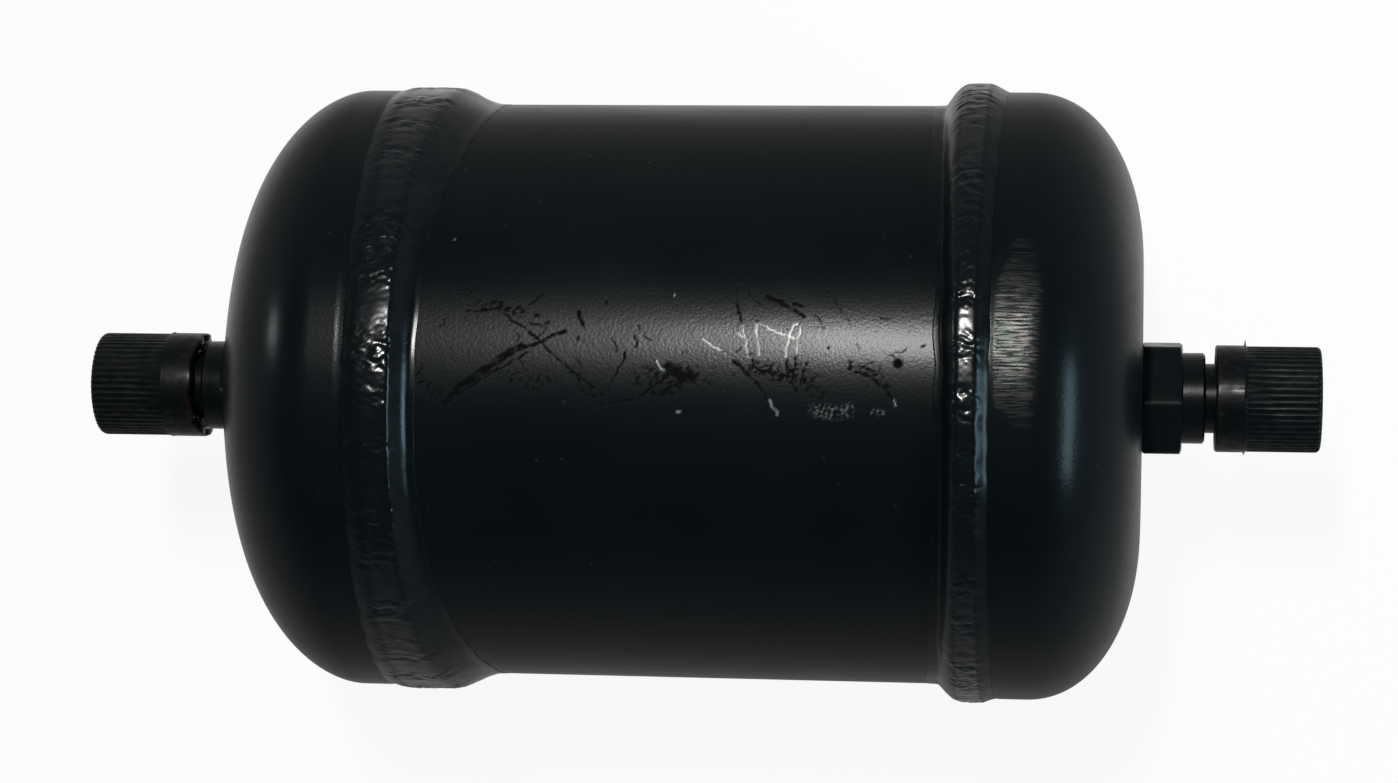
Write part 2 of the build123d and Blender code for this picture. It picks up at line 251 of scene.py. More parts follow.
def steps(*stretches):
    """Values along a line: each stretch is (start, end, count), and ends aren't repeated."""
    lines = [np.linspace(start, end, count, endpoint=False) for start, end, count in stretches]
    return np.concatenate(lines + [[stretches[-1][1]]])


def all_round(count):
    """Evenly spaced angles all the way round."""
    return np.linspace(0, FULL_TURN, count, endpoint=False)


def smooth_step(edge_from, edge_to, value):
    """0 before the first edge, 1 past the second, and the curve 3t^2 - 2t^3 between them."""
    t = np.clip((value - edge_from) / (edge_to - edge_from), 0, 1)
    return t * t * (3 - 2 * t)


def wander(angle, seed, slowest, fastest, size):
    """A line that wanders evenly round a circle: a sum of cosines with whole numbers of
    waves, each with a random height and start, scaled so that it mostly stays within size."""
    dice = np.random.default_rng(seed)
    waves = np.arange(slowest, fastest + 1)
    heights = dice.normal(size=len(waves))
    starts = dice.uniform(0, FULL_TURN, len(waves))
    line = (heights * np.cos(np.asarray(angle)[..., None] * waves + starts)).sum(-1)
    return size * line / math.sqrt(len(waves))


sample = wander(all_round(360), seed=1, slowest=2, fastest=9, size=1)
print("a wander of size 1 spans", round(float(np.ptp(sample)), 1))

# %% [markdown]
# ## Where marks fall on the tube
# The tube is scratched. Each scratch is written as a few points of the finished picture, and a
# straight line from the camera through such a point meets the tube at one place. The marks
# then sit on the paint itself, and stay there from every side.

# %% Picture points to places on the tube


def picture_rays(pixels):
    """Directions from the camera through picture points, counted from the top left corner."""
    pixels = np.asarray(pixels, dtype=float)
    across = (pixels[:, 0] - PICTURE_WIDTH / 2) * PIXEL_SIZE
    upwards = (PICTURE_HEIGHT / 2 - pixels[:, 1]) * PIXEL_SIZE
    axes = np.array([right, up, back])
    return across[:, None] * axes[0] + upwards[:, None] * axes[1] - CAMERA_DISTANCE * axes[2]


def on_shell(pixels, radius):
    """Where those rays first meet a round wall of that radius, as (station, distance round
    from the top). The nearer root of |eye + t ray| = radius, taken across the shell."""
    rays = picture_rays(pixels)
    eye = np.array(camera_place)
    a = (rays[:, 1:] ** 2).sum(1)
    b = (rays[:, 1:] * eye[1:]).sum(1)
    c = (eye[1:] ** 2).sum() - radius**2
    hit = eye + ((-b - np.sqrt(b * b - a * c)) / a)[:, None] * rays
    return np.stack([hit[:, 0], radius * np.arctan2(hit[:, 1], hit[:, 2])], axis=-1)


middle_of_picture = on_shell([(PICTURE_WIDTH / 2, PICTURE_HEIGHT / 2)], TUBE_RADIUS)
print("the middle of the picture meets the tube at", np.round(middle_of_picture / MM, 1), "mm")

# %% [markdown]
# ## The shell tube
# The tube is rolled and welded steel under black paint. A cylinder with a bump pattern would
# do from afar, but the scratches are what tell a handled drier from a new one, and they have
# both depth and colour. So the wall is a grid, fine where the marks are and coarse elsewhere,
# and each mark lowers the paint a little and leaves its strength in a point attribute that
# the paint reads later.

# %% Marks on the tube, in picture points
# Each mark is (width, points). Dark marks are scuffs that dulled the paint, pale ones went deep.
DARK_MARKS = {
    "long thin line": (0.28 * MM, [(504, 314), (525, 328), (541, 342), (553, 354), (567, 367), (595, 388)]),
    "smudge": (0.95 * MM, [(445, 404), (457, 388), (477, 375), (492, 364), (507, 354), (519, 347)]),
    "end of smudge": (0.42 * MM, [(519, 347), (534, 345), (541, 342), (553, 335), (565, 331)]),
    "streak": (0.4 * MM, [(466, 311), (480, 310), (500, 308)]),
    "tick on streak": (0.2 * MM, [(501, 302), (501, 314)]),
    "faint curve": (0.25 * MM, [(438, 286), (454, 293), (467, 294), (480, 287)]),
    "blob one": (0.5 * MM, [(536, 315), (538, 315)]),
    "blob two": (0.4 * MM, [(578, 312), (584, 327)]),
    "blob three": (0.4 * MM, [(606, 301), (606, 303)]),
    "blob four": (0.35 * MM, [(578, 337), (578, 339)]),
    "short line": (0.25 * MM, [(530, 304), (544, 294)]),
    "squiggle": (0.25 * MM, [(626, 352), (623, 362), (616, 373), (610, 383), (608, 392)]),
    "upright tick": (0.25 * MM, [(636, 337), (636, 346)]),
    "blotch": (1.4 * MM, [(668, 368), (680, 375), (692, 380)]),
    "blotch's tail": (0.6 * MM, [(692, 372), (684, 380), (672, 388), (660, 392)]),
    "low line": (0.35 * MM, [(589, 406), (610, 403), (630, 399), (645, 393), (668, 375)]),
    "bracket": (0.32 * MM, [(737, 287), (738, 311), (742, 322)]),
    "thick bar": (0.55 * MM, [(765, 296), (782, 303), (804, 316)]),
    "thick bar's end": (0.4 * MM, [(793, 303), (801, 306)]),
    "diagonal": (0.38 * MM, [(734, 361), (747, 374), (759, 385), (767, 399)]),
    "swirl": (0.3 * MM, [(752, 359), (753, 366), (764, 372), (778, 375), (791, 376)]),
    "tail one": (0.25 * MM, [(786, 359), (788, 374)]),
    "tail two": (0.3 * MM, [(796, 357), (792, 383), (797, 391)]),
    "tail three": (0.25 * MM, [(806, 362), (800, 385)]),
    "arc": (0.3 * MM, [(856, 372), (870, 376), (881, 387), (893, 399)]),
    "small tick": (0.25 * MM, [(848, 362), (860, 366), (872, 372)]),
    "beside the smudge": (0.3 * MM, [(449, 399), (468, 388), (489, 374), (509, 363), (528, 352)]),
    "small pit": (0.4 * MM, [(922, 346), (924, 346)]),
    "dot one": (0.3 * MM, [(881, 413), (881, 414)]),
    "dot two": (0.3 * MM, [(828, 347), (828, 348)]),
}
PITS = {"pit": (1.15 * MM, [(898, 363), (898, 364)])}
PALE_MARKS = {
    "short pale line": (0.12 * MM, [(656, 362), (665, 370)]),
    "pale ring": (0.35 * MM, [(677, 411), (679, 411)]),
    "pale dot": (0.18 * MM, [(455, 239), (455, 240)]),
    "second pale dot": (0.18 * MM, [(675, 295), (675, 296)]),
    "upright scratch": (0.13 * MM, [(743, 327), (746, 341), (749, 357)]),
    "branch": (0.12 * MM, [(739, 334), (745, 338)]),
    "second upright": (0.12 * MM, [(756, 324), (758, 340), (760, 355)]),
    "long pale line": (0.12 * MM, [(758, 323), (774, 331), (795, 339)]),
    "hook": (0.14 * MM, [(786, 358), (788, 343), (790, 332), (794, 326), (798, 324)]),
    "third upright": (0.12 * MM, [(800, 328), (798, 340), (796, 355)]),
    "slope": (0.12 * MM, [(703, 340), (714, 346), (725, 354)]),
    "end of diagonal": (0.14 * MM, [(769, 400), (775, 408), (777, 415)]),
    "end of arc": (0.12 * MM, [(894, 400), (896, 406)]),
}
SPECKLE = {
    "speckled patch": (1.5 * MM, [(816, 411), (834, 413), (848, 411)]),
    "speckles by the arc": (0.6 * MM, [(873, 412), (884, 413)]),
}
RUBBED_MARKS = {
    "left of the smudge": (2.4 * MM, [(418, 372), (428, 385), (440, 396)]),
    "under the smudge": (2.2 * MM, [(510, 376), (528, 384), (548, 380)]),
    "beside the thin line": (1.8 * MM, [(572, 372), (586, 390), (600, 396)]),
    "round the blotch": (2.6 * MM, [(640, 378), (662, 376), (690, 374)]),
    "below the blotch": (1.6 * MM, [(650, 392), (676, 390)]),
    "under the hook": (2.2 * MM, [(758, 368), (778, 374), (800, 372)]),
    "tails": (1.8 * MM, [(804, 378), (812, 390), (822, 396)]),
    "beside the bar": (1.4 * MM, [(470, 300), (500, 306), (520, 312)]),
    "right end": (1.2 * MM, [(850, 366), (876, 376), (890, 392)]),
}
print(len(DARK_MARKS), "dark and", len(PALE_MARKS), "pale marks")

# %% Strokes on the paint
FINE_STEP = 0.17 * MM
STROKE_BEND = 0.07 * MM


def near_stroke(places, stroke, width):
    """1 on a stroke and 0 away from it. The distance from a place p to a segment from a to b
    is |p - a - t (b - a)|, where t is the foot of the perpendicular kept between 0 and 1."""
    start, along = stroke[:-1], np.diff(stroke, axis=0)
    to_place = places[:, None] - start
    share = np.clip((to_place * along).sum(-1) / (along**2).sum(-1), 0, 1)
    distance = np.linalg.norm(to_place - share[..., None] * along, axis=-1).min(1)
    return 1 - smooth_step(0.25 * width, max(0.75 * width, FINE_STEP), distance)


def patches(places, size, seed, count=24):
    """Uneven values of about -1 to 1: a mean of plane waves whose lengths are near a size."""
    dice = np.random.default_rng(seed)
    direction, start = dice.uniform(0, FULL_TURN, (2, count))
    pace = FULL_TURN / (size * dice.uniform(0.6, 1.8, count))
    along = places @ np.stack([np.cos(direction), np.sin(direction)]) * pace + start
    return np.cos(along).sum(1) * 1.4 / math.sqrt(count)


def marked(places, marks, seed, broken=1.0):
    """How strongly each place is marked: the strongest of the strokes near it. Patches bend
    the strokes, rag their edges and, where they are broken, thin them out in places."""
    bend = np.stack([patches(places, 1.4 * MM, seed), patches(places, 1.4 * MM, seed + 1)], axis=1)
    bent = places + bend * STROKE_BEND * (broken > 0)
    thinning = patches(places, 1.6 * MM, seed + 2) + 0.7 * patches(places, 0.5 * MM, seed + 3)
    thin = smooth_step(-1.9, -0.2, thinning)
    strength = np.zeros(len(places))
    for width, stroke in marks:
        above = places > stroke.min(0) - 2 * width
        below = places < stroke.max(0) + 2 * width
        close = (above & below).all(1)
        strength[close] = np.maximum(strength[close], near_stroke(bent[close], stroke, width))
    return strength * (1 - broken * (1 - thin))


on_line = near_stroke(np.zeros((1, 2)), np.array([[-MM, 0], [MM, 0]]), 0.3 * MM)
print("a place in the middle of a stroke is marked", on_line[0])

# %% All the marks together
FLECKS = 60


def flecks(count, seed):
    """Short, thin strokes at random places and directions in the handled stretch."""
    dice = np.random.default_rng(seed)
    station = dice.uniform(-33 * MM, 30 * MM, count)
    arc = dice.normal(6 * MM, 5 * MM, count)
    length = dice.gamma(2.0, 0.45 * MM, count)
    direction = dice.uniform(0, FULL_TURN, count)
    width = dice.uniform(0.12 * MM, 0.32 * MM, count)

    def onwards(heading):
        return length[:, None] * np.stack([np.cos(heading), np.sin(heading)], axis=1)

    start = np.stack([station, arc], axis=1)
    middle = start + onwards(direction)
    end = middle + 0.6 * onwards(direction + 0.7)
    return [(w, np.stack(stroke)) for w, *stroke in zip(width, start, middle, end)]


def strokes_of(marks):
    """Marks given in picture points, as strokes of (station, arc) places."""
    return [(width, on_shell(pixels, TUBE_RADIUS)) for width, pixels in marks.values()]


def tube_marks(places):
    """(dark, pale): how strongly each place is scuffed, and how strongly it is scratched."""
    rubbed = marked(places, strokes_of(RUBBED_MARKS), seed=90)
    rubbed = 0.85 * rubbed * smooth_step(-0.6, 0.9, patches(places, 0.7 * MM, 95))
    drawn = marked(places, strokes_of(DARK_MARKS), seed=70, broken=0.6)
    pits = marked(places, strokes_of(PITS), seed=73, broken=0)
    small = 0.7 * marked(places, flecks(FLECKS, seed=61), seed=75)
    grains = marked(places, strokes_of(SPECKLE), seed=85)
    grains = 0.55 * grains * smooth_step(0.1, 0.6, patches(places, 0.4 * MM, 96))
    scratched = marked(places, strokes_of(PALE_MARKS), seed=80, broken=0.35)
    return np.max([drawn, rubbed, pits, small], axis=0), np.maximum(scratched, grains)


print(FLECKS, "small flecks besides")

# %% Tube surface
SCRATCH_DEPTH = 0.004 * MM
WAVINESS = 0.012 * MM
MARKED_FROM, MARKED_TO = -36.5 * MM, 33.5 * MM
MARKED_LOW, MARKED_HIGH = -3 * MM, 24.5 * MM  # round the tube from its top line
PLAIN_COLUMNS = 60


def tube_grid():
    """(stations, angles), fine where the marks are and coarse elsewhere."""
    fine_rows = int((MARKED_TO - MARKED_FROM) / FINE_STEP)
    fine_columns = int((MARKED_HIGH - MARKED_LOW) / FINE_STEP)
    station = steps(
        (-TUBE_END, MARKED_FROM, 5),
        (MARKED_FROM, MARKED_TO, fine_rows),
        (MARKED_TO, TUBE_END, 6),
    )
    low, high = MARKED_LOW / TUBE_RADIUS, MARKED_HIGH / TUBE_RADIUS
    angle = steps((low, high, fine_columns), (high, low + FULL_TURN, PLAIN_COLUMNS))[:-1]
    return np.meshgrid(station, angle, indexing="ij")


def shell_tube():
    """A round wall: radius + waviness - scratch depth * marks outside, a plain bore inside."""
    station, angle = tube_grid()
    arc = TUBE_RADIUS * (np.mod(angle + math.pi, FULL_TURN) - math.pi)
    places = np.stack([station, arc], axis=-1).reshape(-1, 2)
    dark, pale = (marks.reshape(station.shape) for marks in tube_marks(places))
    waves = wander(angle, seed=3, slowest=2, fastest=9, size=WAVINESS)
    radius = TUBE_RADIUS - WAVINESS + waves - SCRATCH_DEPTH * (dark + pale)
    bore = [(TUBE_END, TUBE_RADIUS - TUBE_WALL), (-TUBE_END, TUBE_RADIUS - TUBE_WALL)]
    points = around(*outline_grid([(station, radius), bore], angle[:1]), angle[:1])
    tube = piece_from_grid("scratched_tube", points)
    add_attribute(tube, "dark", dark)
    add_attribute(tube, "pale", pale)
    keep_creases(tube, 32)
    return tube


tube = shell_tube()
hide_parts("shell_tube")
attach(tube, "shell")

# %% [markdown]
# ## The end cups
# Each cup is drawn from sheet in a press: a straight skirt over the tube, a knuckle whose
# section is close to a quarter of an ellipse, and a flat crown. Beside the bead the weld's
# heat has drawn the skirt in by a hair. Revolving that section gives an even, smooth dome,
# which matters because its reflections are most of what is seen.

# %% Section of a cup
KNUCKLE_ROWS = 48
KNUCKLE_POWER = {"inlet": 1.08, "outlet": 0.95}
CROWN_BULGE = {"inlet": 1.0 * MM, "outlet": 0.0}
CROWN_FLAT_RADIUS = 17.3 * MM
REACH_OF_SPIGOT = 5.05 * MM
SHRINK_DEPTH, SHRINK_FROM, SHRINK_TO = 0.042 * MM, 39.95 * MM, 40.75 * MM


def cup_outline(end, wall_offset, thinning=1):
    """Skirt, knuckle and crown of one face of the cup, as (stations, radii). The knuckle is
    (tube end + depth sin^f t, flat radius + height cos^f t) for t up to a quarter turn. With
    f at 1 it is an ellipse, a little below 1 it is fuller, and above 1 it is flatter. The
    thinning divides the number of rows, for the face that nobody sees."""
    power = KNUCKLE_POWER[end]
    depth = CROWN + CROWN_BULGE[end] - TUBE_END - wall_offset
    height = CUP_RADIUS - CROWN_FLAT_RADIUS - wall_offset
    t = np.linspace(0, math.pi / 2, KNUCKLE_ROWS // thinning)
    deep, high = np.sin(t) ** power, np.clip(np.cos(t), 0, 1) ** power
    few, many = 6 // thinning, 12 // thinning
    skirt = steps(
        (CUP_RIM, SHRINK_FROM, few),
        (SHRINK_FROM, SHRINK_TO, many),
        (SHRINK_TO, TUBE_END, many),
    )[:-1]
    shrunk = SHRINK_DEPTH * (1 - smooth_step(SHRINK_FROM, SHRINK_TO, skirt))
    skirt_radius = CUP_RADIUS - wall_offset - shrunk
    flat = np.linspace(CROWN_FLAT_RADIUS, REACH_OF_SPIGOT, 5)[1:]
    flat_station = np.full(len(flat), TUBE_END + depth)
    station = np.concatenate([skirt, TUBE_END + depth * deep, flat_station])
    radius = np.concatenate([skirt_radius, CROWN_FLAT_RADIUS + height * high, flat])
    return station, radius


print("rows outside and inside a cup:", *(len(cup_outline("inlet", 0, n)[0]) for n in (1, 3)))

# %% [markdown]
# On the outlet cup a grinding wheel has cleaned a patch beside the weld. Its strokes run along
# the shell, so they are cut into the mesh as narrow grooves, and an attribute tells the paint
# where the patch is. The attribute is strongest in the patch's middle, which paints in the
# highlight of the window's streak there. A bump pattern would lose the ragged ends of the
# strokes, which are what makes the patch look ground and not painted on.

# %% The ground patch
GROUND_FROM, GROUND_TO = 40.4 * MM, 46.6 * MM
GROUND_TOP, GROUND_BOTTOM = (1015, 236), (1015, 430)  # picture points
GROOVE_DEPTH = 0.009 * MM
# How far the strokes start and end inside those stations, in mm, by share from the top.
GROUND_STARTS = (0, 0.12, 0.2, 0.35, 0.88, 0.92, 1), (2.0, 1.7, 0.6, 0.0, 0.0, 1.5, 2.2)
GROUND_ENDS = (0, 0.3, 0.6, 1), (1.2, 0.0, 0.3, 0.9)
ground_edges = on_shell([GROUND_TOP, GROUND_BOTTOM], CUP_RADIUS)[:, 1] / CUP_RADIUS


def blurred(values, kernel):
    """Random values run into their neighbours, which makes them smoother."""
    return np.convolve(values, kernel, mode="same")


def ground_strokes(station, angle):
    """(mask, groove). Each stroke starts and ends at its own station, and the patch narrows
    towards its top and bottom. The mask also fades there, a painted highlight that is strongest
    where the window's streak crosses the patch. A groove is one of many random lines along X."""
    share = (ground_edges[0] - angle) / (ground_edges[0] - ground_edges[1])
    inside = smooth_step(0.0, 0.03, share) * (1 - smooth_step(0.97, 1.0, share))
    dice = np.random.default_rng(11)
    coarse, fine, early, late = dice.normal(size=(4, station.shape[1]))
    lines = 0.8 * blurred(coarse, [0.3, 0.5, 0.3]) + 0.4 * fine
    starts = GROUND_FROM + np.interp(share[0], *GROUND_STARTS) * MM
    starts = starts + 0.3 * MM * np.abs(blurred(early, [0.5, 0.6, 0.5]))
    ends = GROUND_TO - np.interp(share[0], *GROUND_ENDS) * MM
    ends = ends - 0.8 * MM * np.abs(blurred(late, [0.4, 0.6, 0.4]))
    along = smooth_step(starts, starts + 0.15 * MM, station)
    along = along * (1 - smooth_step(ends - 0.6 * MM, ends, station))
    from_middle = np.abs(share - 0.54) * 2
    chance = 0.35 + 0.3 * blurred(late, [0.5, 0.7])
    sparse = smooth_step(from_middle - 0.75, from_middle - 0.45, chance)
    mask = inside * along * (1 - (1 - sparse) * smooth_step(0.55, 0.9, from_middle))
    # painted highlight: the steel shows most at the patch's middle, where the window's streak falls
    mask = mask * (1 - 0.62 * smooth_step(0.1, 0.85, from_middle))
    return mask, mask * lines


print("the patch spans", np.round(np.degrees(ground_edges), 1), "degrees round the cup")

# %% Cup surfaces
CUP_COLUMNS = 240
GROUND_STEP = 0.085 * MM


def cup_angles(end):
    """Even columns, with many more of them across the ground patch of the outlet cup."""
    if end == "inlet":
        return all_round(CUP_COLUMNS)
    low, high = sorted(ground_edges)
    fine = int((high - low) * CUP_RADIUS / GROUND_STEP)
    return steps((low, high, fine), (high, low + FULL_TURN, CUP_COLUMNS))[:-1]


def end_cup(end):
    """A pressed wall of even thickness, closed at the skirt's rim and round the spigot."""
    outer_station, outer_radius = cup_outline(end, 0)
    inner_station, inner_radius = cup_outline(end, CUP_WALL, thinning=3)
    station = np.concatenate([outer_station, inner_station[::-1]])
    radius = np.concatenate([outer_radius, inner_radius[::-1]])[:, None]
    outside = (np.arange(len(station)) < len(outer_station))[:, None]
    station, angle = np.meshgrid(station, cup_angles(end), indexing="ij")
    waves = wander(angle, seed=5 + ENDS[end], slowest=2, fastest=6, size=WAVINESS)
    ground_and_highlight = np.zeros_like(station)
    if end == "outlet":
        ground_and_highlight, groove = ground_strokes(station, np.mod(angle + math.pi, FULL_TURN) - math.pi)
        ground_and_highlight = np.where(outside, ground_and_highlight, 0)
        radius = radius - GROOVE_DEPTH * np.where(outside, groove, 0)
    radius = radius - WAVINESS + waves
    cup = piece_from_grid(f"{end}_domed_cup", turned(end, station, radius, angle))
    add_attribute(cup, "ground_and_highlight", outwards(end, ground_and_highlight))
    keep_creases(cup, 32)
    return cup


for end in ENDS:
    cup = end_cup(end)
    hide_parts(f"{end}_end_cup")
    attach(cup, "shell")

# %% [markdown]
# ## The weld beads
# A machine turned the shell under a torch, and the bead froze in overlapping scales, like
# coins pushed along a table. A ring with a noisy bump would look like putty, because real
# ripples are curved, evenly spaced and trail behind the torch. So each bead's radius is a
# section drawn by its slopes plus ripples whose crests bend with the distance from the bead's
# middle, with a toe line that wanders where the metal wetted out unevenly.

# %% Section of a bead
BEAD_SHAPES = {
    "inlet": {"crest": 36.0 * MM, "height": 2.38 * MM, "seed": 21},
    "outlet": {"crest": 37.3 * MM, "height": 2.85 * MM, "seed": 34},
}
# At the sides a bead is lower and its edges reach further: the first towards +Y, then -Y.
LOWER_AT_SIDES = {"inlet": (0.2 * MM, 0.2 * MM), "outlet": (-0.1 * MM, 0.6 * MM)}
TOE_REACH = {"inlet": (5.4 * MM, 6.4 * MM), "outlet": (2.0 * MM, 2.2 * MM)}
VALLEY_REACH = {"inlet": (0.0, 0.0), "outlet": (0.9 * MM, 0.0)}
# How steep the bead is at distances from its crest, in mm: towards the toe, then the valley.
TOE_SLOPES = {
    "inlet": ((0, 2.0, 2.5, 3.4, 3.8, 4.35, 4.5, 5.3), (0, 0.12, 1.12, 1.12, 0.85, 0.62, 0.2, 0)),
    "outlet": ((0, 0.9, 1.6, 2.6, 3.0, 3.15, 4.1), (0, 0.06, 1.0, 2.5, 2.5, 0.15, 0)),
}
VALLEY_SLOPES = {
    "inlet": ((0, 1.8, 2.8, 3.4, 3.7), (0, 0.08, 0.4, 0.4, 0)),
    "outlet": ((0, 0.8, 1.4, 2.1, 2.3, 2.6, 2.75), (0, 0.05, 0.8, 0.9, 0.78, 0.66, 0)),
}
TOE_ROWS, VALLEY_ROWS = 30, 20


def bead_side(slopes, rows):
    """(distance, fall) from the crest to the edge, as shares of the whole. The fall is the
    running sum of the slope, so a side is drawn by how steep it is."""
    distance = np.linspace(0, slopes[0][-1], rows)
    steepness = np.interp(distance, *slopes)
    fall = np.concatenate([[0], np.cumsum(steepness[1:] + steepness[:-1])])
    return distance[:, None] / distance[-1], fall[:, None] / fall[-1]


def bead_section(end, angle):
    """(station, radius, rise) of the bead before its ripples. Its edges reach further by
    reach * |sin angle|^3 and its crest is lower by lower * sin^2 angle. The rise is 1 at the
    crest and 0 at both edges."""
    crest, height, seed = BEAD_SHAPES[end].values()
    sideways = np.sin(angle)

    def by_side(pair):
        return np.where(sideways > 0, *pair[end])

    toe = crest - TOE_SLOPES[end][0][-1] * MM + wander(angle, seed, 3, 40, 0.14 * MM)
    toe = toe - by_side(TOE_REACH) * np.abs(sideways) ** 3
    valley = crest + VALLEY_SLOPES[end][0][-1] * MM + wander(angle, seed + 1, 5, 60, 0.07 * MM)
    valley = valley + by_side(VALLEY_REACH) * np.abs(sideways) ** 3
    crest_radius = TUBE_RADIUS + height - by_side(LOWER_AT_SIDES) * sideways**2
    toe_way, toe_fall = (side[:0:-1] for side in bead_side(TOE_SLOPES[end], TOE_ROWS))
    valley_way, valley_fall = bead_side(VALLEY_SLOPES[end], VALLEY_ROWS)
    station = crest + np.vstack([(toe - crest) * toe_way, (valley - crest) * valley_way])
    toe_radius = crest_radius - (crest_radius - TUBE_RADIUS) * toe_fall
    valley_radius = crest_radius - (crest_radius - CUP_RADIUS) * valley_fall
    rise = 1 - np.vstack([toe_fall, valley_fall])
    return station, np.vstack([toe_radius, valley_radius]), rise


print("bead rows:", len(bead_section("inlet", np.zeros((1, 1)))[0]))

# %% Ripples of a bead
RIPPLE_PITCH = 1.85 * MM
RIPPLE_BEND = 1.3 * MM
RIPPLE_HEIGHT = 0.05 * MM
BEAD_LUMPS, BEAD_GRAIN = 0.034 * MM, 0.02 * MM
ripples_all_round = round(FULL_TURN * CUP_RADIUS / RIPPLE_PITCH)


def lumps(angle, across, seed, count, slowest, fastest, lean, size):
    """An uneven surface round a circle: a sum of cosines, each with a whole number of waves
    round the circle, a random lean across it and a random start."""
    dice = np.random.default_rng(seed)
    total = np.zeros(np.broadcast(angle, across).shape)
    waves = dice.integers(slowest, fastest, count)
    leans = dice.normal(size=count) * lean
    starts = dice.uniform(0, FULL_TURN, count)
    for wave, leaning, start in zip(waves, leans, starts):
        total += np.cos(wave * angle + leaning * across + start)
    return size * total / math.sqrt(count)


def bead_ripples(angle, across, seed):
    """Ripples + lumps + grain, stronger in some stretches. A ripple is height *
    (|sin (pi phase)|^0.8 - 0.6), and its phase is ripples * (angle + bend * across^2)."""
    wandered = angle + wander(angle, seed + 2, 10, 90, 0.3 * MM / CUP_RADIUS)
    bend = RIPPLE_BEND * across**2 / CUP_RADIUS
    phase = ripples_all_round / FULL_TURN * (wandered + bend)
    ripple = np.abs(np.sin(math.pi * phase)) ** 0.8 - 0.6
    uneven = lumps(angle, across, seed + 4, 40, 20, 120, 5, BEAD_LUMPS)
    grain = lumps(angle, across, seed + 5, 60, 120, 330, 11, BEAD_GRAIN)
    strength = np.clip(1 + 0.9 * wander(angle, seed + 3, 6, 50, 1), 0.2, 2)
    return strength * (RIPPLE_HEIGHT * ripple + uneven + grain)


print(ripples_all_round, "ripples all round")

# %% Bead surfaces
BEAD_COLUMNS = 1300
HALF_BEAD_WIDTH = 3 * MM
TUCKED_IN = 0.03 * MM  # how far a bead's edges end below the walls
SUNK = 0.3 * MM  # how far its inside lies below them
CREST_GLOSS = 0.62
FLANK_GLOSS = {"inlet": 0.3, "outlet": 0.17}


def weld_bead(end):
    """Outside, section + rise^2 * ripples. Inside, the two steps of the wall below it. The
    paint is glossiest along the crest, where it ran thin and dried smooth."""
    angle = all_round(BEAD_COLUMNS)[None, :]
    station, radius, rise = bead_section(end, angle)
    across = (station - BEAD_SHAPES[end]["crest"]) / HALF_BEAD_WIDTH
    radius = radius + rise**2 * bead_ripples(angle, across, BEAD_SHAPES[end]["seed"])
    radius = np.minimum(radius, reach(f"{end}_weld_bead"))
    radius[[0, -1]] -= TUCKED_IN
    inside = [(CUP_RIM, CUP_RADIUS - SUNK), (CUP_RIM, TUBE_RADIUS - SUNK)]
    station, radius = outline_grid([(station, radius), inside], angle)
    bead = piece_from_grid(f"{end}_rippled_bead", turned(end, station, radius, angle))
    gloss = np.full(station.shape, FLANK_GLOSS[end])
    gloss[:-2] += (CREST_GLOSS - FLANK_GLOSS[end]) * smooth_step(0.92, 0.99, rise)
    add_attribute(bead, "gloss", outwards(end, gloss))
    return bead


for end in ENDS:
    bead = weld_bead(end)
    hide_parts(f"{end}_weld_bead")
    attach(bead, "shell")

# %% [markdown]
# ## The flare fittings
# Each fitting is turned from hexagon bar: the hexagon with its chamfered corners, a shoulder,
# a relief groove, a cut thread and a 45 degree flare nose. A thread is often faked with
# rings. Here it is a real right-hand helix, because it shows once a cap is off: its depth
# depends on the station less the share of a turn, so it climbs one pitch each time round.

# %% Hexagon and thread
HEX_CHAMFER_SLOPE = 4.0
EDGE = 0.12 * MM
THREAD_RADIUS, THREAD_PITCH, THREAD_DEPTH = 5.555 * MM, 1.27 * MM, 0.75 * MM


def hexagon(angle):
    """Radius of a hexagon with a corner at angle 0: half its width over the cosine of the
    angle from the middle of the nearest side."""
    side = FULL_TURN / 6
    return HEX_HALF_WIDTH / np.cos(np.mod(angle, side) - side / 2)


def thread_radius(station, angle):
    """Right-hand thread: root + depth * |2 f - 1|, where f is the fraction of
    X / pitch + angle / full turn. The angle turns against X, hence the plus."""
    fraction = np.mod(station / THREAD_PITCH + angle / FULL_TURN, 1)
    return THREAD_RADIUS - THREAD_DEPTH + THREAD_DEPTH * np.abs(2 * fraction - 1)


print("hexagon over its corners", round(2 * hexagon(0) / MM, 2), "mm")

# %% Fitting surfaces
FITTING_COLUMNS = 192
SPIGOT_RADIUS, FLOW_BORE_RADIUS = 5.0 * MM, 2.4 * MM
HEX_ROWS = np.array([0, 0.08, 0.16, 0.24, 0.32, 0.5, 4.7, 4.88, 4.96, 5.04, 5.12, 5.2]) * MM
HEX_END = 63.8 * MM
SHOULDER_RADIUS, SHOULDER_END = 5.95 * MM, 66.75 * MM
SHOULDER_CHAMFER = 0.3 * MM
RELIEF_RADIUS, RELIEF_END = 4.55 * MM, 68.35 * MM
THREAD_END, LAND_END = 77.35 * MM, 77.7 * MM
LAND_RADIUS = 4.75 * MM
NOSE_RADIUS = LAND_RADIUS - (NOSE_TIP - LAND_END)
SPIGOT = [
    (SPIGOT_END, FLOW_BORE_RADIUS + EDGE),
    (SPIGOT_END, SPIGOT_RADIUS - EDGE),
    (SPIGOT_END + EDGE, SPIGOT_RADIUS),
    (CROWN, SPIGOT_RADIUS),
]
SHOULDER = [
    (HEX_END, SHOULDER_RADIUS),
    (SHOULDER_END - SHOULDER_CHAMFER, SHOULDER_RADIUS),
    (SHOULDER_END, SHOULDER_RADIUS - SHOULDER_CHAMFER),
    (SHOULDER_END, RELIEF_RADIUS),
    (RELIEF_END - EDGE, RELIEF_RADIUS),
]
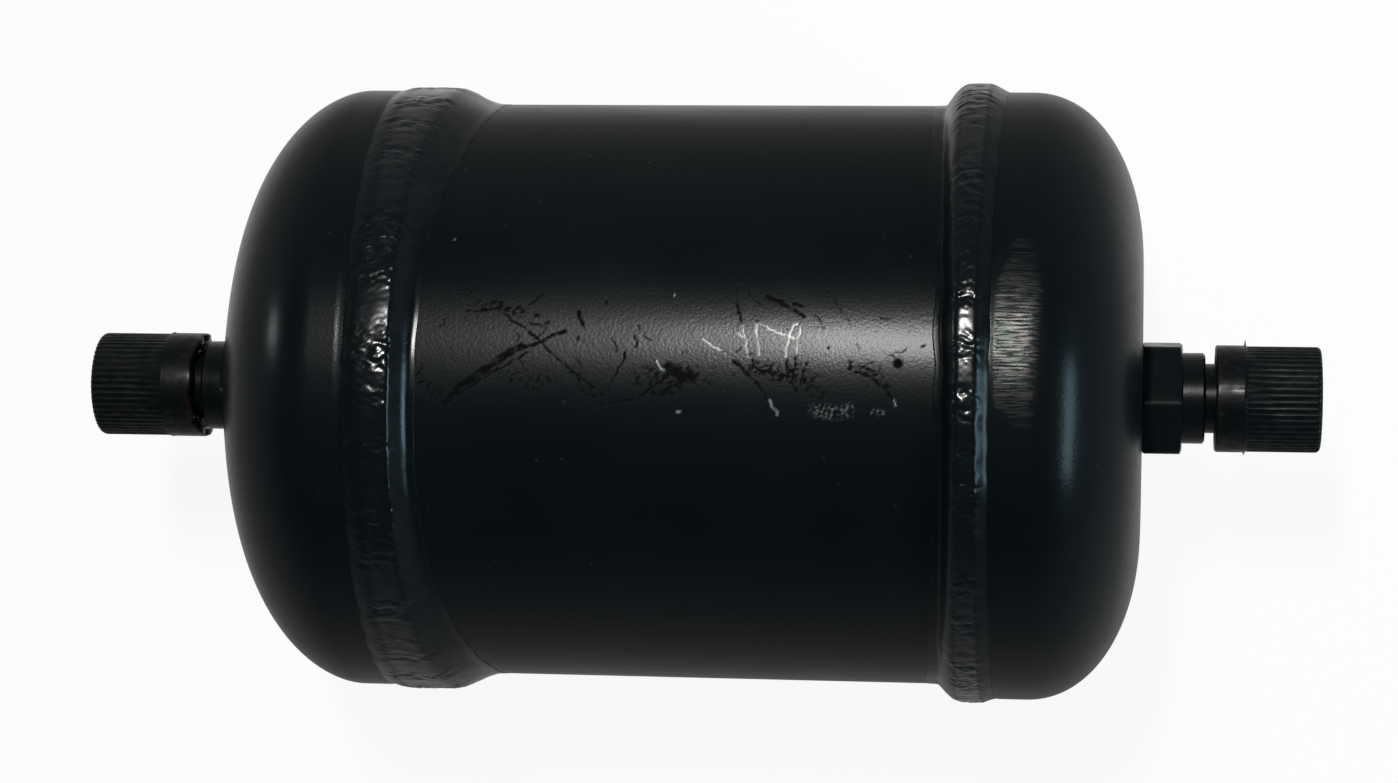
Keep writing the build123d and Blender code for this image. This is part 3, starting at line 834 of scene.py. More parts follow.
NOSE = [
    (LAND_END, LAND_RADIUS),
    (NOSE_TIP, NOSE_RADIUS),
    (NOSE_TIP, FLOW_BORE_RADIUS + EDGE),
    (NOSE_TIP - EDGE, FLOW_BORE_RADIUS),
    (SPIGOT_END + EDGE, FLOW_BORE_RADIUS),
]


def flare_fitting(end):
    """One closed outline: spigot, hexagon, shoulder, groove, thread, nose and flow bore. The
    hexagon is the lesser of the bar and two cones that chamfer its corners."""
    angle = all_round(FITTING_COLUMNS)[None, :]
    hex_station = HEX_ROWS[:, None] + CROWN
    from_face = np.minimum(hex_station - CROWN, HEX_END - hex_station)
    cone = HEX_HALF_WIDTH - EDGE + from_face * HEX_CHAMFER_SLOPE
    hex_part = (hex_station, np.minimum(hexagon(angle), cone))
    thread_station = steps((RELIEF_END, THREAD_END, 112))[:, None]
    ramp = np.minimum(thread_station - RELIEF_END, THREAD_END - thread_station)
    cut = thread_radius(ENDS[end] * thread_station, angle)
    thread_part = (thread_station, np.minimum(cut, THREAD_RADIUS - THREAD_DEPTH + ramp))
    parts = [SPIGOT, hex_part, SHOULDER, thread_part, NOSE]
    station, radius = outline_grid(parts, angle)
    fitting = piece_from_grid(f"{end}_threaded_fitting", turned(end, station, radius, angle))
    bare = smooth_step(CAP_RIM + 1.2 * MM, CAP_RIM + 2.2 * MM, station)
    corner = np.cos(6 * angle) * ((station > CROWN) & (station < HEX_END))
    add_attribute(fitting, "bare", outwards(end, bare))
    add_attribute(fitting, "worn", outwards(end, smooth_step(0.975, 1.0, corner)))
    keep_creases(fitting, 25)
    return fitting


for end in ENDS:
    fitting = flare_fitting(end)
    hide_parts(f"{end}_flare_fitting")
    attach(fitting, "shell")

# %% [markdown]
# ## The thread caps
# The caps are moulded in black plastic, with a plain collar and a ribbed grip. The mould
# parts where they meet, and on the outlet cap it left a torn fin of flash there. The ribs
# could be copies of one rib, but a single grid whose radius rises and falls 56 times round
# leaves no seams. Inside, the same helix as the fitting's, a little larger, makes the nut
# thread, so the cap still looks right once it is screwed off.

# %% Rim, grip and end of a cap
RIBS = 56
CAP_COLUMNS = RIBS * 12
COLLAR_END = 71.9 * MM
GRIP_RADIUS, RIB_DEPTH = 6.9 * MM, 0.11 * MM
RIM_ROUND, END_ROUND = 0.35 * MM, 0.65 * MM
CAP_FLOOR, CAP_BORE_RADIUS = 80.4 * MM, 5.655 * MM
END_DIMPLE = 0.12 * MM
CAP_INSIDE = [(CAP_FLOOR, 2.0 * MM), (CAP_FLOOR, CAP_BORE_RADIUS)]
CAP_MOUTH = [(CAP_RIM + RIM_ROUND, CAP_BORE_RADIUS), (CAP_RIM, CAP_BORE_RADIUS + RIM_ROUND)]
CAP_CLOSING = [
    (CAP_END, 5.6 * MM),
    (CAP_END, 1.3 * MM),
    (CAP_END - END_DIMPLE, 1.15 * MM),
    (CAP_END - END_DIMPLE, 0.5 * MM),
]


def fillet(corner_station, corner_radius, size, rows):
    """A quarter circle that rounds an outer corner, from its side to its end face."""
    t = np.linspace(0, math.pi / 2, rows)
    station = corner_station - size + size * np.sin(t)
    return np.stack([station, corner_radius - size + size * np.cos(t)], axis=-1)


def ribbed_grip(angle):
    """(stations, radii) of the grip, from the collar over the rounded end: radius - depth *
    |sin (28 angle)|^0.8, and the ribs fade out at both ends of the grip."""
    grip_start = COLLAR_END + 0.16 * MM
    ribs_start = COLLAR_END + 0.5 * MM
    side = [(grip_start, GRIP_RADIUS), (ribs_start, GRIP_RADIUS)]
    side += [(CAP_END - END_ROUND - 4.5 * MM, GRIP_RADIUS)]
    grip = np.concatenate([side, fillet(CAP_END, GRIP_RADIUS, END_ROUND, 12)])
    station, radius = grip.T[..., None]
    fade = smooth_step(grip_start, ribs_start, station)
    fade = fade * smooth_step(4.6 * MM, GRIP_RADIUS - 0.3 * MM, radius)
    return station, radius - fade * RIB_DEPTH * np.abs(np.sin(RIBS / 2 * angle)) ** 0.8


print(RIBS, "ribs,", round(FULL_TURN * GRIP_RADIUS / RIBS / MM, 2), "mm apart")

# %% Moulding fin and nut thread
THREAD_PLAY = 0.12 * MM
NUT_FROM, NUT_TO = 68.45 * MM, 77.0 * MM
FLASH_HEIGHT = {"inlet": 0.08 * MM, "outlet": 0.5 * MM}
SEAM_ROWS = np.array([-0.14, 0.0, 0.12])[:, None] * MM
SEAM_SHARES = np.array([0.15, 1.0, 0.1])[:, None]


def torn_fin(end, angle):
    """(stations, radii) of the seam between collar and grip: a low torn line all round, and
    two long tears at the sides, 1.4 sin^40 angle towards +Y and 0.6 sin^40 angle opposite."""
    dice = np.random.default_rng(8 + ENDS[end])
    uneven = dice.uniform(0.6, 1.0, CAP_COLUMNS)
    torn = np.abs(wander(angle, 50 + ENDS[end], 3, 60, 1.0)) * uneven
    sideways = np.sin(angle)
    tears = 1.4 * np.clip(sideways, 0, 1) ** 40 + 0.6 * np.clip(-sideways, 0, 1) ** 40
    fin = FLASH_HEIGHT[end] * (0.3 * np.clip(0.3 + 0.6 * torn, 0, 1) + tears)
    return COLLAR_END + SEAM_ROWS, CAP_RADIUS + fin * SEAM_SHARES


def nut_thread(end, angle):
    """(stations, radii) of the thread inside a cap, which runs out at both ends."""
    station = steps((NUT_TO, NUT_FROM, 54))[:, None]
    cut = thread_radius(ENDS[end] * station, angle) + THREAD_PLAY
    ramp = np.minimum(station - NUT_FROM, NUT_TO - station)
    deepest = CAP_BORE_RADIUS - np.minimum(ramp, 0.6 * MM)
    return station, np.clip(cut, deepest, CAP_BORE_RADIUS)


print("the nut thread makes", round((NUT_TO - NUT_FROM) / THREAD_PITCH, 1), "turns")

# %% Cap surfaces
RIM_FLASH = {"inlet": 0.85 * MM, "outlet": 0.04 * MM}
RIM_FADE = 1.0 * MM


def thread_cap(end):
    """Outline from the middle of the inner floor, down the thread, over the rim, along collar
    and grip, to the middle of the end. The rim is ragged: it reaches further by
    flash * sin^4 angle, and wanders."""
    angle = all_round(CAP_COLUMNS)[None, :]
    rim = fillet(-CAP_RIM, CAP_RADIUS, RIM_ROUND, 5)[::-1] * [-1, 1]
    collar = [(COLLAR_END - 0.2 * MM, CAP_RADIUS)]
    parts = [CAP_INSIDE, nut_thread(end, angle), CAP_MOUTH, rim, collar]
    parts += [torn_fin(end, angle), ribbed_grip(angle), CAP_CLOSING]
    station, radius = outline_grid(parts, angle)
    wavy = np.abs(wander(angle, 58 + ENDS[end], 2, 7, 0.35 * RIM_FLASH[end]))
    ragged = RIM_FLASH[end] * np.sin(angle) ** 4 + wavy
    station = station - ragged * (1 - smooth_step(CAP_RIM, CAP_RIM + RIM_FADE, station))
    floor, tip = ((ENDS[end] * x, 0, 0) for x in (CAP_FLOOR, CAP_END - END_DIMPLE))
    points = turned(end, station, radius, angle)
    cap = piece_from_grid(f"{end}_ribbed_cap", points, outwards(end, [floor, tip]))
    keep_creases(cap, 40)
    return cap


for end in ENDS:
    cap = thread_cap(end)
    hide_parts(f"{end}_thread_cap")
    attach(cap, f"{end}_cap")

# %% [markdown]
# ## Finishes
# Every finish is procedural, so nothing stretches or repeats, and every number in it is a size
# in millimetres on the real part. Three ideas come back in all of them: roughness that drifts,
# because hands and boxes polish a surface unevenly, a fine bump, because nothing is flat up
# close, and a second colour where the first one has worn away.

# %% Nodes and patterns


def shader(tree, kind, inputs=None, **settings):
    """A shader node. Each input is a number, a colour or the output of another node."""
    made = tree.nodes.new("ShaderNode" + kind)
    for name, value in settings.items():
        setattr(made, name, value)
    for name, value in (inputs or {}).items():
        if isinstance(value, bpy.types.NodeSocket):
            tree.links.new(value, made.inputs[name])
        else:
            made.inputs[name].default_value = value
    return made


def places(tree, stretch=(1, 1, 1)):
    """Object coordinates in millimetres. A stretch below 1 draws a pattern out along an axis."""
    object_place = shader(tree, "TexCoord").outputs["Object"]
    scale = [share / MM for share in stretch]
    return shader(tree, "Mapping", {"Vector": object_place, "Scale": scale}).outputs["Vector"]


def clouds(tree, size, detail=3, stretch=(1, 1, 1)):
    """Noise from about 0.3 to 0.7, with features of a size in millimetres."""
    inputs = {"Vector": places(tree, stretch), "Scale": 1 / size, "Detail": detail}
    return shader(tree, "TexNoise", inputs).outputs[0]


def spots(tree, size):
    """Distance to the nearest of many scattered points, in shares of a size in millimetres."""
    inputs = {"Vector": places(tree), "Scale": 1 / size}
    return shader(tree, "TexVoronoi", inputs).outputs["Distance"]


print("patterns: clouds and spots")

# %% Values, colours and bumps


def remap(tree, value, low, high, to_low, to_high, curve="LINEAR"):
    """A value's range stretched to another range, and held at its ends."""
    inputs = {"Value": value, "From Min": low, "From Max": high}
    inputs.update({"To Min": to_low, "To Max": to_high})
    return shader(tree, "MapRange", inputs, interpolation_type=curve).outputs["Result"]


def drift(tree, size, low, high, detail=4):
    """A value that drifts between two limits over the surface, as a roughness does."""
    return remap(tree, clouds(tree, size, detail), 0.35, 0.65, low, high)


def combine(tree, operation, first, second):
    """Sum, product or other operation of two values."""
    return shader(tree, "Math", {0: first, 1: second}, operation=operation).outputs[0]


def mix_colors(tree, share, first, second):
    """From the first colour at a share of 0 to the second at 1."""
    inputs = {0: share, 6: opaque(first), 7: opaque(second)}
    return shader(tree, "Mix", inputs, data_type="RGBA").outputs[2]


def opaque(color):
    """A colour of three numbers gets the fourth that a socket asks for."""
    return color if isinstance(color, bpy.types.NodeSocket) else (*color, 1)


def bump(tree, height, depth, base=None):
    """A normal tilted by a height field whose full range is a depth in millimetres."""
    inputs = {"Height": height, "Distance": depth * MM, "Strength": 1}
    if base is not None:
        inputs["Normal"] = base
    return shader(tree, "Bump", inputs).outputs["Normal"]


def attribute(tree, name):
    """A number that was stored on the mesh's points, or 0 where there is none."""
    return shader(tree, "Attribute", attribute_name=name).outputs["Fac"]


print("values are remapped, drifted, combined, mixed and bumped")

# %% A new material
materials = {}


def new_material(name):
    """An empty material, its tree and its principled shader."""
    print("finish:", name)
    material = bpy.data.materials.new(name)
    material.use_nodes = True
    tree = material.node_tree
    return material, tree, tree.nodes["Principled BSDF"]


def set_inputs(tree, principled, inputs):
    """Sets or links inputs of a principled shader by name."""
    for name, value in inputs.items():
        if isinstance(value, bpy.types.NodeSocket):
            tree.links.new(value, principled.inputs[name])
        else:
            principled.inputs[name].default_value = value


# %% [markdown]
# The paint is a thin satin black with a faint blue-green cast. Sprayed enamel never dries
# flat: it keeps a skin of tiny waves, like orange peel. It is duller where marks scuffed it,
# grey where they went through it, and the ground patch shows steel under a film of primer,
# most in its middle, a painted highlight where the window's streak crosses it.

# %% Shell paint
PAINT_COLOR, HAZE_COLOR = (0.0036, 0.0058, 0.007), (0.006, 0.0082, 0.0093)
SCUFF_COLOR = (0.0022, 0.0026, 0.003)
SCRATCH_COLOR = (0.42, 0.43, 0.42)
DUST_COLOR = (0.032, 0.036, 0.038)
GROUND_WARM, GROUND_COOL = (0.078, 0.069, 0.067), (0.060, 0.069, 0.063)


def shell_paint():
    """Satin enamel with orange peel, handling haze, dust specks, marks and a ground patch whose strength is
    partly a painted highlight.
    """
    material, tree, principled = new_material("satin_black_enamel")
    dark, pale, ground_and_highlight = (attribute(tree, name) for name in ("dark", "pale", "ground_and_highlight"))
    haze = clouds(tree, 16, 5)
    rubbed = clouds(tree, 1.6, 3, stretch=(0.12, 1, 1))
    roughness = remap(tree, haze, 0.35, 0.65, 0.28, 0.34)
    roughness = combine(tree, "ADD", roughness, remap(tree, rubbed, 0.45, 0.75, 0, 0.05))
    for mark, roughening in ((dark, 0.45), (pale, 0.1), (ground_and_highlight, 0.03)):
        rougher = combine(tree, "MULTIPLY", mark, roughening)
        roughness = combine(tree, "ADD", roughness, rougher)
    specks = remap(tree, spots(tree, 2.3), 0.05, 0.1, 1, 0)
    rare = remap(tree, clouds(tree, 9), 0.52, 0.6, 0, 0.7)
    color = mix_colors(tree, remap(tree, haze, 0.4, 0.7, 0, 0.35), PAINT_COLOR, HAZE_COLOR)
    color = mix_colors(tree, combine(tree, "MULTIPLY", specks, rare), color, DUST_COLOR)
    color = mix_colors(tree, dark, color, SCUFF_COLOR)
    color = mix_colors(tree, combine(tree, "MULTIPLY", pale, 0.62), color, SCRATCH_COLOR)
    tint = remap(tree, clouds(tree, 2.2), 0.4, 0.6, 0, 1)
    steel = mix_colors(tree, tint, GROUND_WARM, GROUND_COOL)
    strokes = clouds(tree, 0.22, 4, stretch=(0.1, 1, 1))
    # the ground patch's steel, partly real and partly a painted highlight along the window's streak
    shown = combine(tree, "MULTIPLY", ground_and_highlight, remap(tree, strokes, 0.42, 0.56, 0.12, 1))
    color = mix_colors(tree, shown, color, steel)
    peel = bump(tree, clouds(tree, 0.42, 2), 0.013)
    normal = bump(tree, clouds(tree, 2.6, 2), 0.006, peel)
    worn = combine(tree, "ADD", combine(tree, "ADD", dark, pale), ground_and_highlight)
    gloss = remap(tree, worn, 0, 0.8, 0.2, 0)
    set_inputs(tree, principled, {"Base Color": color, "Roughness": roughness, "Normal": normal})
    steel_bare = combine(tree, "MULTIPLY", shown, 0.85)
    bare = combine(tree, "MAXIMUM", steel_bare, combine(tree, "MULTIPLY", pale, 0.75))
    set_inputs(tree, principled, {"Metallic": bare, "Specular IOR Level": 0.085})
    set_inputs(tree, principled, {"Coat Weight": gloss, "Coat Roughness": 0.2})
    set_inputs(tree, principled, {"Coat Normal": normal})
    return material


materials["shell_paint"] = shell_paint()

# %% Bead paint
THICK_COLOR = (0.0073, 0.0096, 0.0106)


def bead_paint():
    """The same enamel, thicker and glossier over the ripples, with spatter grains."""
    material, tree, principled = new_material("glossy_bead_enamel")
    roughness = drift(tree, 4, 0.2, 0.32)
    thick = remap(tree, clouds(tree, 2), 0.5, 0.7, 0, 0.5)
    color = mix_colors(tree, thick, PAINT_COLOR, THICK_COLOR)
    grains = remap(tree, spots(tree, 1.1), 0.0, 0.35, 1, 0)
    few = remap(tree, clouds(tree, 3.5), 0.5, 0.62, 0, 1)
    normal = bump(tree, clouds(tree, 0.5, 3), 0.01)
    normal = bump(tree, combine(tree, "MULTIPLY", grains, few), 0.03, normal)
    set_inputs(tree, principled, {"Base Color": color, "Roughness": roughness, "Normal": normal})
    uneven = drift(tree, 1.4, 0.8, 1.2, detail=3)
    gloss = combine(tree, "MULTIPLY", attribute(tree, "gloss"), uneven)
    set_inputs(tree, principled, {"Coat Weight": gloss, "Coat Roughness": 0.17})
    set_inputs(tree, principled, {"Specular IOR Level": 0.12})
    return material


materials["bead_paint"] = bead_paint()

# %% Fitting paint
THIN_COLOR, CORNER_COLOR = (0.0042, 0.006, 0.0067), (0.085, 0.082, 0.078)
METAL_COLORS = (0.46, 0.44, 0.40), (0.56, 0.53, 0.47)


def fitting_paint():
    """Thin paint over turned metal, worn through on the corners and bare past the cap's rim."""
    material, tree, principled = new_material("painted_turned_metal")
    bare, worn = attribute(tree, "bare"), attribute(tree, "worn")
    turned_lines = clouds(tree, 0.3, 2, stretch=(1, 0.05, 0.05))
    patchy = remap(tree, clouds(tree, 0.9, 4), 0.4, 0.6, 0.4, 0.8)
    shown = combine(tree, "MULTIPLY", worn, patchy)
    color = mix_colors(tree, shown, THIN_COLOR, CORNER_COLOR)
    tone = remap(tree, clouds(tree, 2), 0.4, 0.6, 0, 1)
    color = mix_colors(tree, bare, color, mix_colors(tree, tone, *METAL_COLORS))
    roughness = drift(tree, 3, 0.26, 0.4)
    normal = bump(tree, turned_lines, 0.012, bump(tree, clouds(tree, 0.4, 2), 0.012))
    set_inputs(tree, principled, {"Base Color": color, "Roughness": roughness, "Normal": normal})
    set_inputs(tree, principled, {"Metallic": bare, "Specular IOR Level": 0.1})
    gloss = remap(tree, bare, 0, 1, 0.24, 0)
    set_inputs(tree, principled, {"Coat Weight": gloss, "Coat Roughness": 0.2})
    return material


materials["fitting_paint"] = fitting_paint()

# %% [markdown]
# The caps are a black polyethylene. It is duller than paint and scuffs to grey in streaks along
# its length. Near the rim its colour has a painted brown glow, for light shining through the thin wall.

# %% Cap plastic
PLASTIC_COLOR, PAINTED_RIM_GLOW_COLOR = (0.0042, 0.0056, 0.0063), (0.012, 0.0087, 0.0068)
RUBBED_COLOR = (0.032, 0.032, 0.033)
RIM_GLOW_WIDTH = 1.1  # mm


def cap_plastic():
    """Moulded black plastic with pale scuffs and a painted brown glow near the rim, for light through the
    thin wall.
    """
    material, tree, principled = new_material("moulded_black_plastic")
    along = shader(tree, "SeparateXYZ", {"Vector": places(tree)}).outputs["X"]
    from_middle = combine(tree, "ABSOLUTE", along, 0)
    # painted glow: brown for light through the thin wall, fading from the rim over RIM_GLOW_WIDTH
    rim = remap(tree, from_middle, CAP_RIM / MM, CAP_RIM / MM + RIM_GLOW_WIDTH, 0.8, 0)
    color = mix_colors(tree, rim, PLASTIC_COLOR, PAINTED_RIM_GLOW_COLOR)
    scuffs = remap(tree, clouds(tree, 0.7, 4, stretch=(0.35, 1, 1)), 0.58, 0.7, 0, 0.35)
    color = mix_colors(tree, scuffs, color, RUBBED_COLOR)
    roughness = drift(tree, 2.4, 0.3, 0.46)
    normal = bump(tree, clouds(tree, 0.22, 3), 0.012, bump(tree, clouds(tree, 1.6, 2), 0.02))
    set_inputs(tree, principled, {"Base Color": color, "Roughness": roughness, "Normal": normal})
    gloss = remap(tree, clouds(tree, 1.1, 3), 0.4, 0.6, 0.07, 0.3)
    set_inputs(tree, principled, {"Coat Weight": gloss, "Coat Roughness": 0.22})
    set_inputs(tree, principled, {"Specular IOR Level": 0.12})
    return material


materials["cap_plastic"] = cap_plastic()

# %% Seal rubber
RUBBER_COLOR, BLOOM_COLOR = (0.018, 0.018, 0.018), (0.05, 0.05, 0.048)


def seal_rubber():
    """Soft black rubber with a dusty bloom."""
    material, tree, principled = new_material("soft_black_rubber")
    bloom = remap(tree, clouds(tree, 1.8, 4), 0.45, 0.7, 0, 0.5)
    color = mix_colors(tree, bloom, RUBBER_COLOR, BLOOM_COLOR)
    roughness = drift(tree, 1.1, 0.6, 0.8, detail=3)
    set_inputs(tree, principled, {"Base Color": color, "Roughness": roughness})
    set_inputs(tree, principled, {"Normal": bump(tree, clouds(tree, 0.3, 3), 0.02)})
    return material


materials["seal_rubber"] = seal_rubber()

# %% [markdown]
# Inside, nothing is painted. The plate and the follower are cold-rolled steel with rolling
# lines, the spring is darker from its tempering, the braze rings are a copper alloy that
# flowed, and the screen, felt and desiccant each have a grain of their own.

# %% Bare metals
# For each: two tones, roughness from and to, size and stretch of its lines, and their depth.
METALS = {
    "braze_metal": {
        "name": "flowed_braze",
        "colors": ((0.62, 0.36, 0.19), (0.5, 0.3, 0.18)),
        "roughness": (0.3, 0.5),
        "lines": (0.8, 2, (1, 1, 1)),
        "depth": 0.05,
    },
    "bare_steel": {
        "name": "rolled_steel",
        "colors": ((0.46, 0.46, 0.47), (0.55, 0.54, 0.53)),
        "roughness": (0.28, 0.42),
        "lines": (0.25, 2, (1, 0.05, 1)),
        "depth": 0.01,
    },
    "spring_steel": {
        "name": "tempered_steel",
        "colors": ((0.3, 0.29, 0.29), (0.38, 0.37, 0.38)),
        "roughness": (0.3, 0.45),
        "lines": (0.3, 2, (1, 1, 1)),
        "depth": 0.015,
    },
}


def metal(name, colors, roughness, lines, depth):
    """Bare metal: two tones in clouds, a drifting roughness and lines from how it was made."""
    material, tree, principled = new_material(name)
    tone = remap(tree, clouds(tree, 5, 4), 0.4, 0.62, 0, 1)
    set_inputs(tree, principled, {"Base Color": mix_colors(tree, tone, *colors), "Metallic": 1})
    set_inputs(tree, principled, {"Roughness": drift(tree, 3, *roughness)})
    set_inputs(tree, principled, {"Normal": bump(tree, clouds(tree, *lines), depth)})
    return material


for finish, settings in METALS.items():
    materials[finish] = metal(**settings)

# %% Wire cloth
WIRE_GAP_SHADE, WIRE_BRIGHT = (0.08, 0.08, 0.078), (0.5, 0.49, 0.46)


def wire_cloth():
    """Fine woven wire: two sets of waves crossing, each thread over and under the next, with a painted
    shade in the gaps between them.
    """
    material, tree, principled = new_material("woven_wire_cloth")
    inputs = {"Vector": places(tree), "Scale": 0.9}
    across, upright = (shader(tree, "TexWave", inputs, bands_direction=axis) for axis in "YZ")
    weave = combine(tree, "MAXIMUM", across.outputs["Fac"], upright.outputs["Fac"])
    # painted shade: the gaps between the threads are coloured dark
    color = mix_colors(tree, weave, WIRE_GAP_SHADE, WIRE_BRIGHT)
    roughness = drift(tree, 2.5, 0.35, 0.5, detail=3)
    set_inputs(tree, principled, {"Base Color": color, "Metallic": 1, "Roughness": roughness})
    set_inputs(tree, principled, {"Normal": bump(tree, weave, 0.12)})
    return material


materials["wire_cloth"] = wire_cloth()

# %% Felt and desiccant
SOFT_GRAINS = {
    "felt": {
        "name": "pressed_felt",
        "colors": ((0.72, 0.70, 0.62), (0.62, 0.59, 0.5)),
        "roughness": (0.85, 0.98),
        "grain_size": 0.5,
        "depth": 0.15,
    },
    "desiccant_block": {
        "name": "bonded_beads",
        "colors": ((0.66, 0.60, 0.48), (0.56, 0.49, 0.37)),
        "roughness": (0.7, 0.9),
        "grain_size": 1.6,
        "depth": 0.4,
    },
}


def soft_grain(name, colors, roughness, grain_size, depth):
    """A matt, uneven body such as felt or pressed beads: coloured clouds and a deep grain."""
    material, tree, principled = new_material(name)
    tone = remap(tree, clouds(tree, grain_size * 4, 5), 0.38, 0.62, 0, 1)
    grain = combine(tree, "ADD", spots(tree, grain_size), clouds(tree, grain_size / 2, 4))
    set_inputs(tree, principled, {"Base Color": mix_colors(tree, tone, *colors)})
    drifting = drift(tree, grain_size * 2, *roughness, detail=3)
    set_inputs(tree, principled, {"Roughness": drifting, "Normal": bump(tree, grain, depth)})
    return material


for finish, settings in SOFT_GRAINS.items():
    materials[finish] = soft_grain(**settings)

# %% Giving each piece and node its finish
PIECE_FINISHES = {
    "shell_paint": ["scratched_tube", "inlet_domed_cup", "outlet_domed_cup"],
    "bead_paint": ["inlet_rippled_bead", "outlet_rippled_bead"],
    "fitting_paint": ["inlet_threaded_fitting", "outlet_threaded_fitting"],
    "cap_plastic": ["inlet_ribbed_cap", "outlet_ribbed_cap"],
}
NODE_FINISHES = {
    "seal_rubber": ["inlet_cap_seal", "outlet_cap_seal"],
    "braze_metal": ["inlet_braze_ring", "outlet_braze_ring"],
    "bare_steel": ["perforated_plate", "spring_follower", "shell_tube"],
    "shell_paint": ["inlet_end_cup", "outlet_end_cup"],
    "bead_paint": ["inlet_weld_bead", "outlet_weld_bead"],
    "fitting_paint": ["inlet_flare_fitting", "outlet_flare_fitting"],
    "cap_plastic": ["inlet_thread_cap", "outlet_thread_cap"],
    "spring_steel": ["core_spring"],
    "wire_cloth": ["outlet_screen"],
    "felt": ["outlet_mat", "core_gasket"],
    "desiccant_block": ["desiccant_core"],
}
for finish, names in PIECE_FINISHES.items():
    for name in names:
        bpy.data.objects[name].data.materials.append(materials[finish])
for finish, names in NODE_FINISHES.items():
    for name in names:
        for material_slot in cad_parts[name].material_slots:
            material_slot.material = materials[finish]
finished = sum(len(names) for names in NODE_FINISHES.values())
print(len(materials), "finishes on", finished, "nodes")

# %% [markdown]
# ## Table and light
# The drier lies on a white table. The table gives off most of its white itself, so that it is
# white in the picture and in the paint's reflections without more lamp light on the drier,
# and the rest is plain diffuse white, which keeps the soft shadow. Glossy paint mirrors that
# white only as a soft pool round the drier, as it would a lit table in a dim room, so the
# flanks stay dark.

# %% Table
FLOOR_LEVEL = cad_box[0].z
TABLE_HALF = 8.0
TABLE_GLOW_SHARE = 0.88
NEAR_GLOW, FAR_GLOW = 1.04, 0.24
POOL_MIDDLE = (-17 * MM, 14 * MM)
POOL_HALF_LENGTH, POOL_HALF_WIDTH = 108 * MM, 50 * MM
POOL_EDGE = 0.0, 1.7  # where the mirrored glow starts and stops falling, in shares of the pool
TABLE_WHITE = 0.9


def table_material():
    """Mostly a glow, partly diffuse. The mirrored glow fades with the distance from the pool's
    middle, the square root of (x / length)^2 + (y / width)^2. The table itself is white all
    over."""
    material = bpy.data.materials.new("white_table")
    material.use_nodes = True
    tree = material.node_tree
    tree.nodes.clear()
    object_place = shader(tree, "TexCoord").outputs["Object"]
    place = shader(tree, "SeparateXYZ", {"Vector": object_place}).outputs
    squares = []
    for axis, middle, half in zip("XY", POOL_MIDDLE, (POOL_HALF_LENGTH, POOL_HALF_WIDTH)):
        share = combine(tree, "DIVIDE", combine(tree, "SUBTRACT", place[axis], middle), half)
        squares.append(combine(tree, "MULTIPLY", share, share))
    distance = combine(tree, "SQRT", combine(tree, "ADD", *squares), 0)
    mirrored = remap(tree, distance, *POOL_EDGE, NEAR_GLOW, FAR_GLOW, "SMOOTHSTEP")
    path = shader(tree, "LightPath").outputs
    direct = combine(tree, "MULTIPLY", path["Is Camera Ray"], NEAR_GLOW)
    strength = combine(tree, "MAXIMUM", mirrored, direct)
    glow = shader(tree, "Emission", {"Color": (1, 1, 1, 1), "Strength": strength}).outputs[0]
    matt = shader(tree, "BsdfDiffuse", {"Color": (*[TABLE_WHITE] * 3, 1)}).outputs[0]
    seen = combine(tree, "ADD", path["Is Camera Ray"], path["Is Glossy Ray"])
    seen = combine(tree, "MINIMUM", combine(tree, "ADD", seen, path["Is Transmission Ray"]), 1)
    share = combine(tree, "MULTIPLY", seen, TABLE_GLOW_SHARE)
    both = shader(tree, "MixShader", {0: share, 1: matt, 2: glow}).outputs[0]
    shader(tree, "OutputMaterial", {"Surface": both})
    return material


table_mesh = bpy.data.meshes.new("table")
square = ((-1, -1), (1, -1), (1, 1), (-1, 1))
table_corners = [(x * TABLE_HALF, y * TABLE_HALF, 0) for x, y in square]
table_mesh.from_pydata(table_corners, [], [(0, 1, 2, 3)])
table = bpy.data.objects.new("table", table_mesh)
table.location.z = FLOOR_LEVEL
table_mesh.materials.append(table_material())
scene = bpy.context.scene
scene.collection.objects.link(table)
table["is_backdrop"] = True
print("table at", round(FLOOR_LEVEL / MM, 1), "mm")

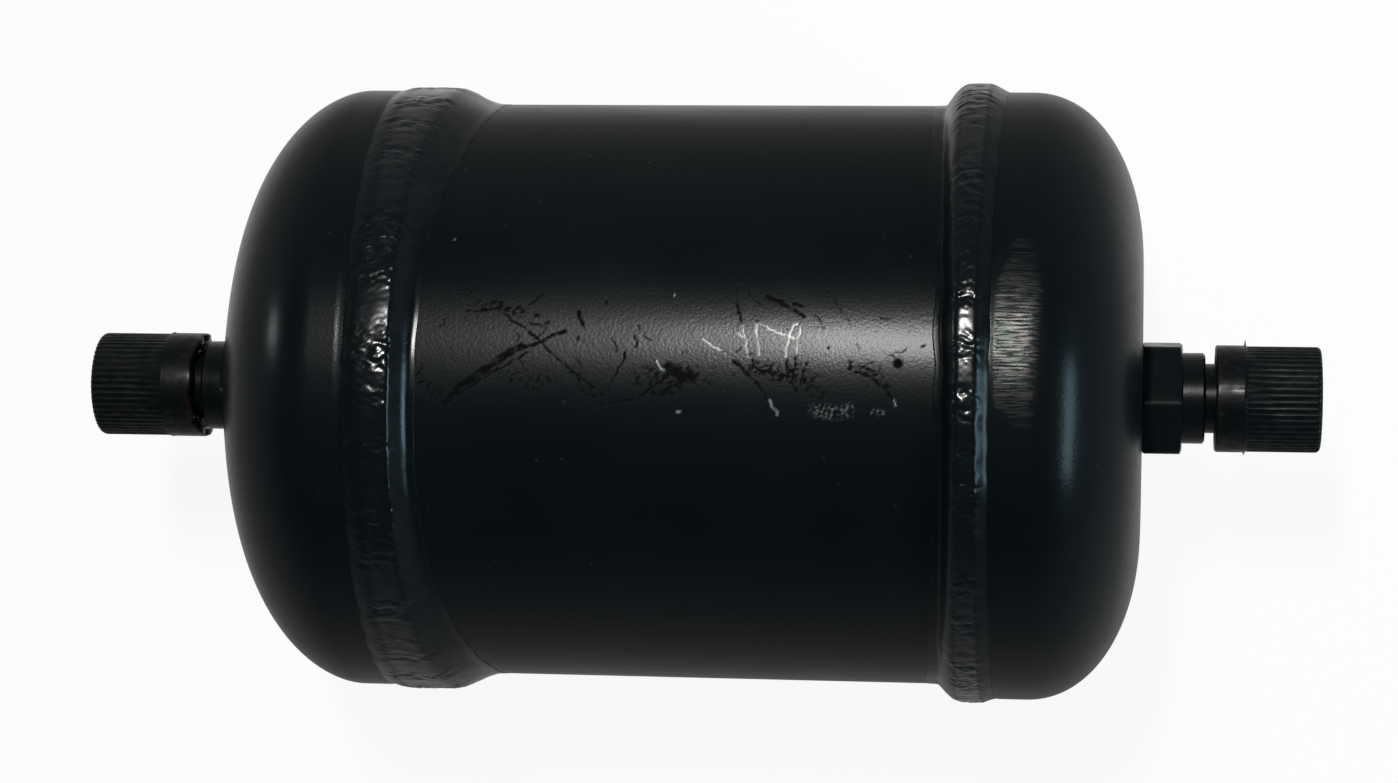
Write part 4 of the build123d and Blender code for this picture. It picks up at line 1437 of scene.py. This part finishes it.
# %% [markdown]
# The long soft streak on the tube comes from one window-sized light beyond the far side, and
# the blue glints on the beads and the right dome from a cooler one to the right. A small
# panel on the left gives the left dome its dim patch. Each lamp's power is worked out from the
# brightness its face should have, so a lamp can grow or move without a new guess:
# power = pi x radiance x area.

# %% Lamps and world
ROOM_CEILING, ROOM_HORIZON = 0.055, 0.28
ROOM_COLOR = (0.78, 0.93, 1.0, 1)
LAMPS = {
    "window": {
        "place": (-0.03, 0.407, 0.915),
        "size": (0.06, 0.205),
        "radiance": 126,
        "color": (1.0, 1.0, 0.97),
    },
    "right_strip": {
        "place": (0.78, -0.07, 0.45),
        "size": (0.5, 0.19),
        "radiance": 8.4,
        "color": (0.54, 0.82, 1.0),
    },
    "left_panel": {
        "place": (-0.83, 0.23, 0.24),
        "size": (0.11, 0.16),
        "radiance": 9.0,
        "color": (0.93, 1.0, 0.97),
    },
}


def area_lamp(name, place, size, radiance, color):
    """A lamp of a width and a height that faces the drier's middle."""
    data = bpy.data.lights.new(name, "AREA")
    data.shape = "RECTANGLE"
    data.size, data.size_y = size
    data.energy = math.pi * radiance * data.size * data.size_y
    data.color = color
    lamp = bpy.data.objects.new(name, data)
    lamp.location = place
    lamp.rotation_euler = Vector(place).to_track_quat("Z", "Y").to_euler()
    lamp.visible_camera = False
    scene.collection.objects.link(lamp)
    return lamp


def room_world():
    """Even grey that is darkest overhead and lightest at the horizon."""
    world = bpy.data.worlds.new("room")
    world.use_nodes = True
    tree = world.node_tree
    tree.nodes.clear()
    direction = shader(tree, "TexCoord").outputs["Generated"]
    height = shader(tree, "SeparateXYZ", {"Vector": direction}).outputs["Z"]
    strength = remap(tree, height, 0.0, 0.57, ROOM_HORIZON, ROOM_CEILING)
    background = shader(tree, "Background", {"Color": ROOM_COLOR, "Strength": strength})
    shader(tree, "OutputWorld", {"Surface": background.outputs[0]})
    return world


for name, lamp in LAMPS.items():
    area_lamp(name, **lamp)
    print(name, "has a radiance of", lamp["radiance"])
scene.world = room_world()
scene.view_settings.view_transform = "Standard"

# %% Finish
low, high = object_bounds()
sizes = {"before": [list(corner) for corner in cad_box], "after": [list(low), list(high)]}
for when, box in sizes.items():
    print("box", when, "in mm:", [round(v / MM, 2) for corner in box for v in corner])
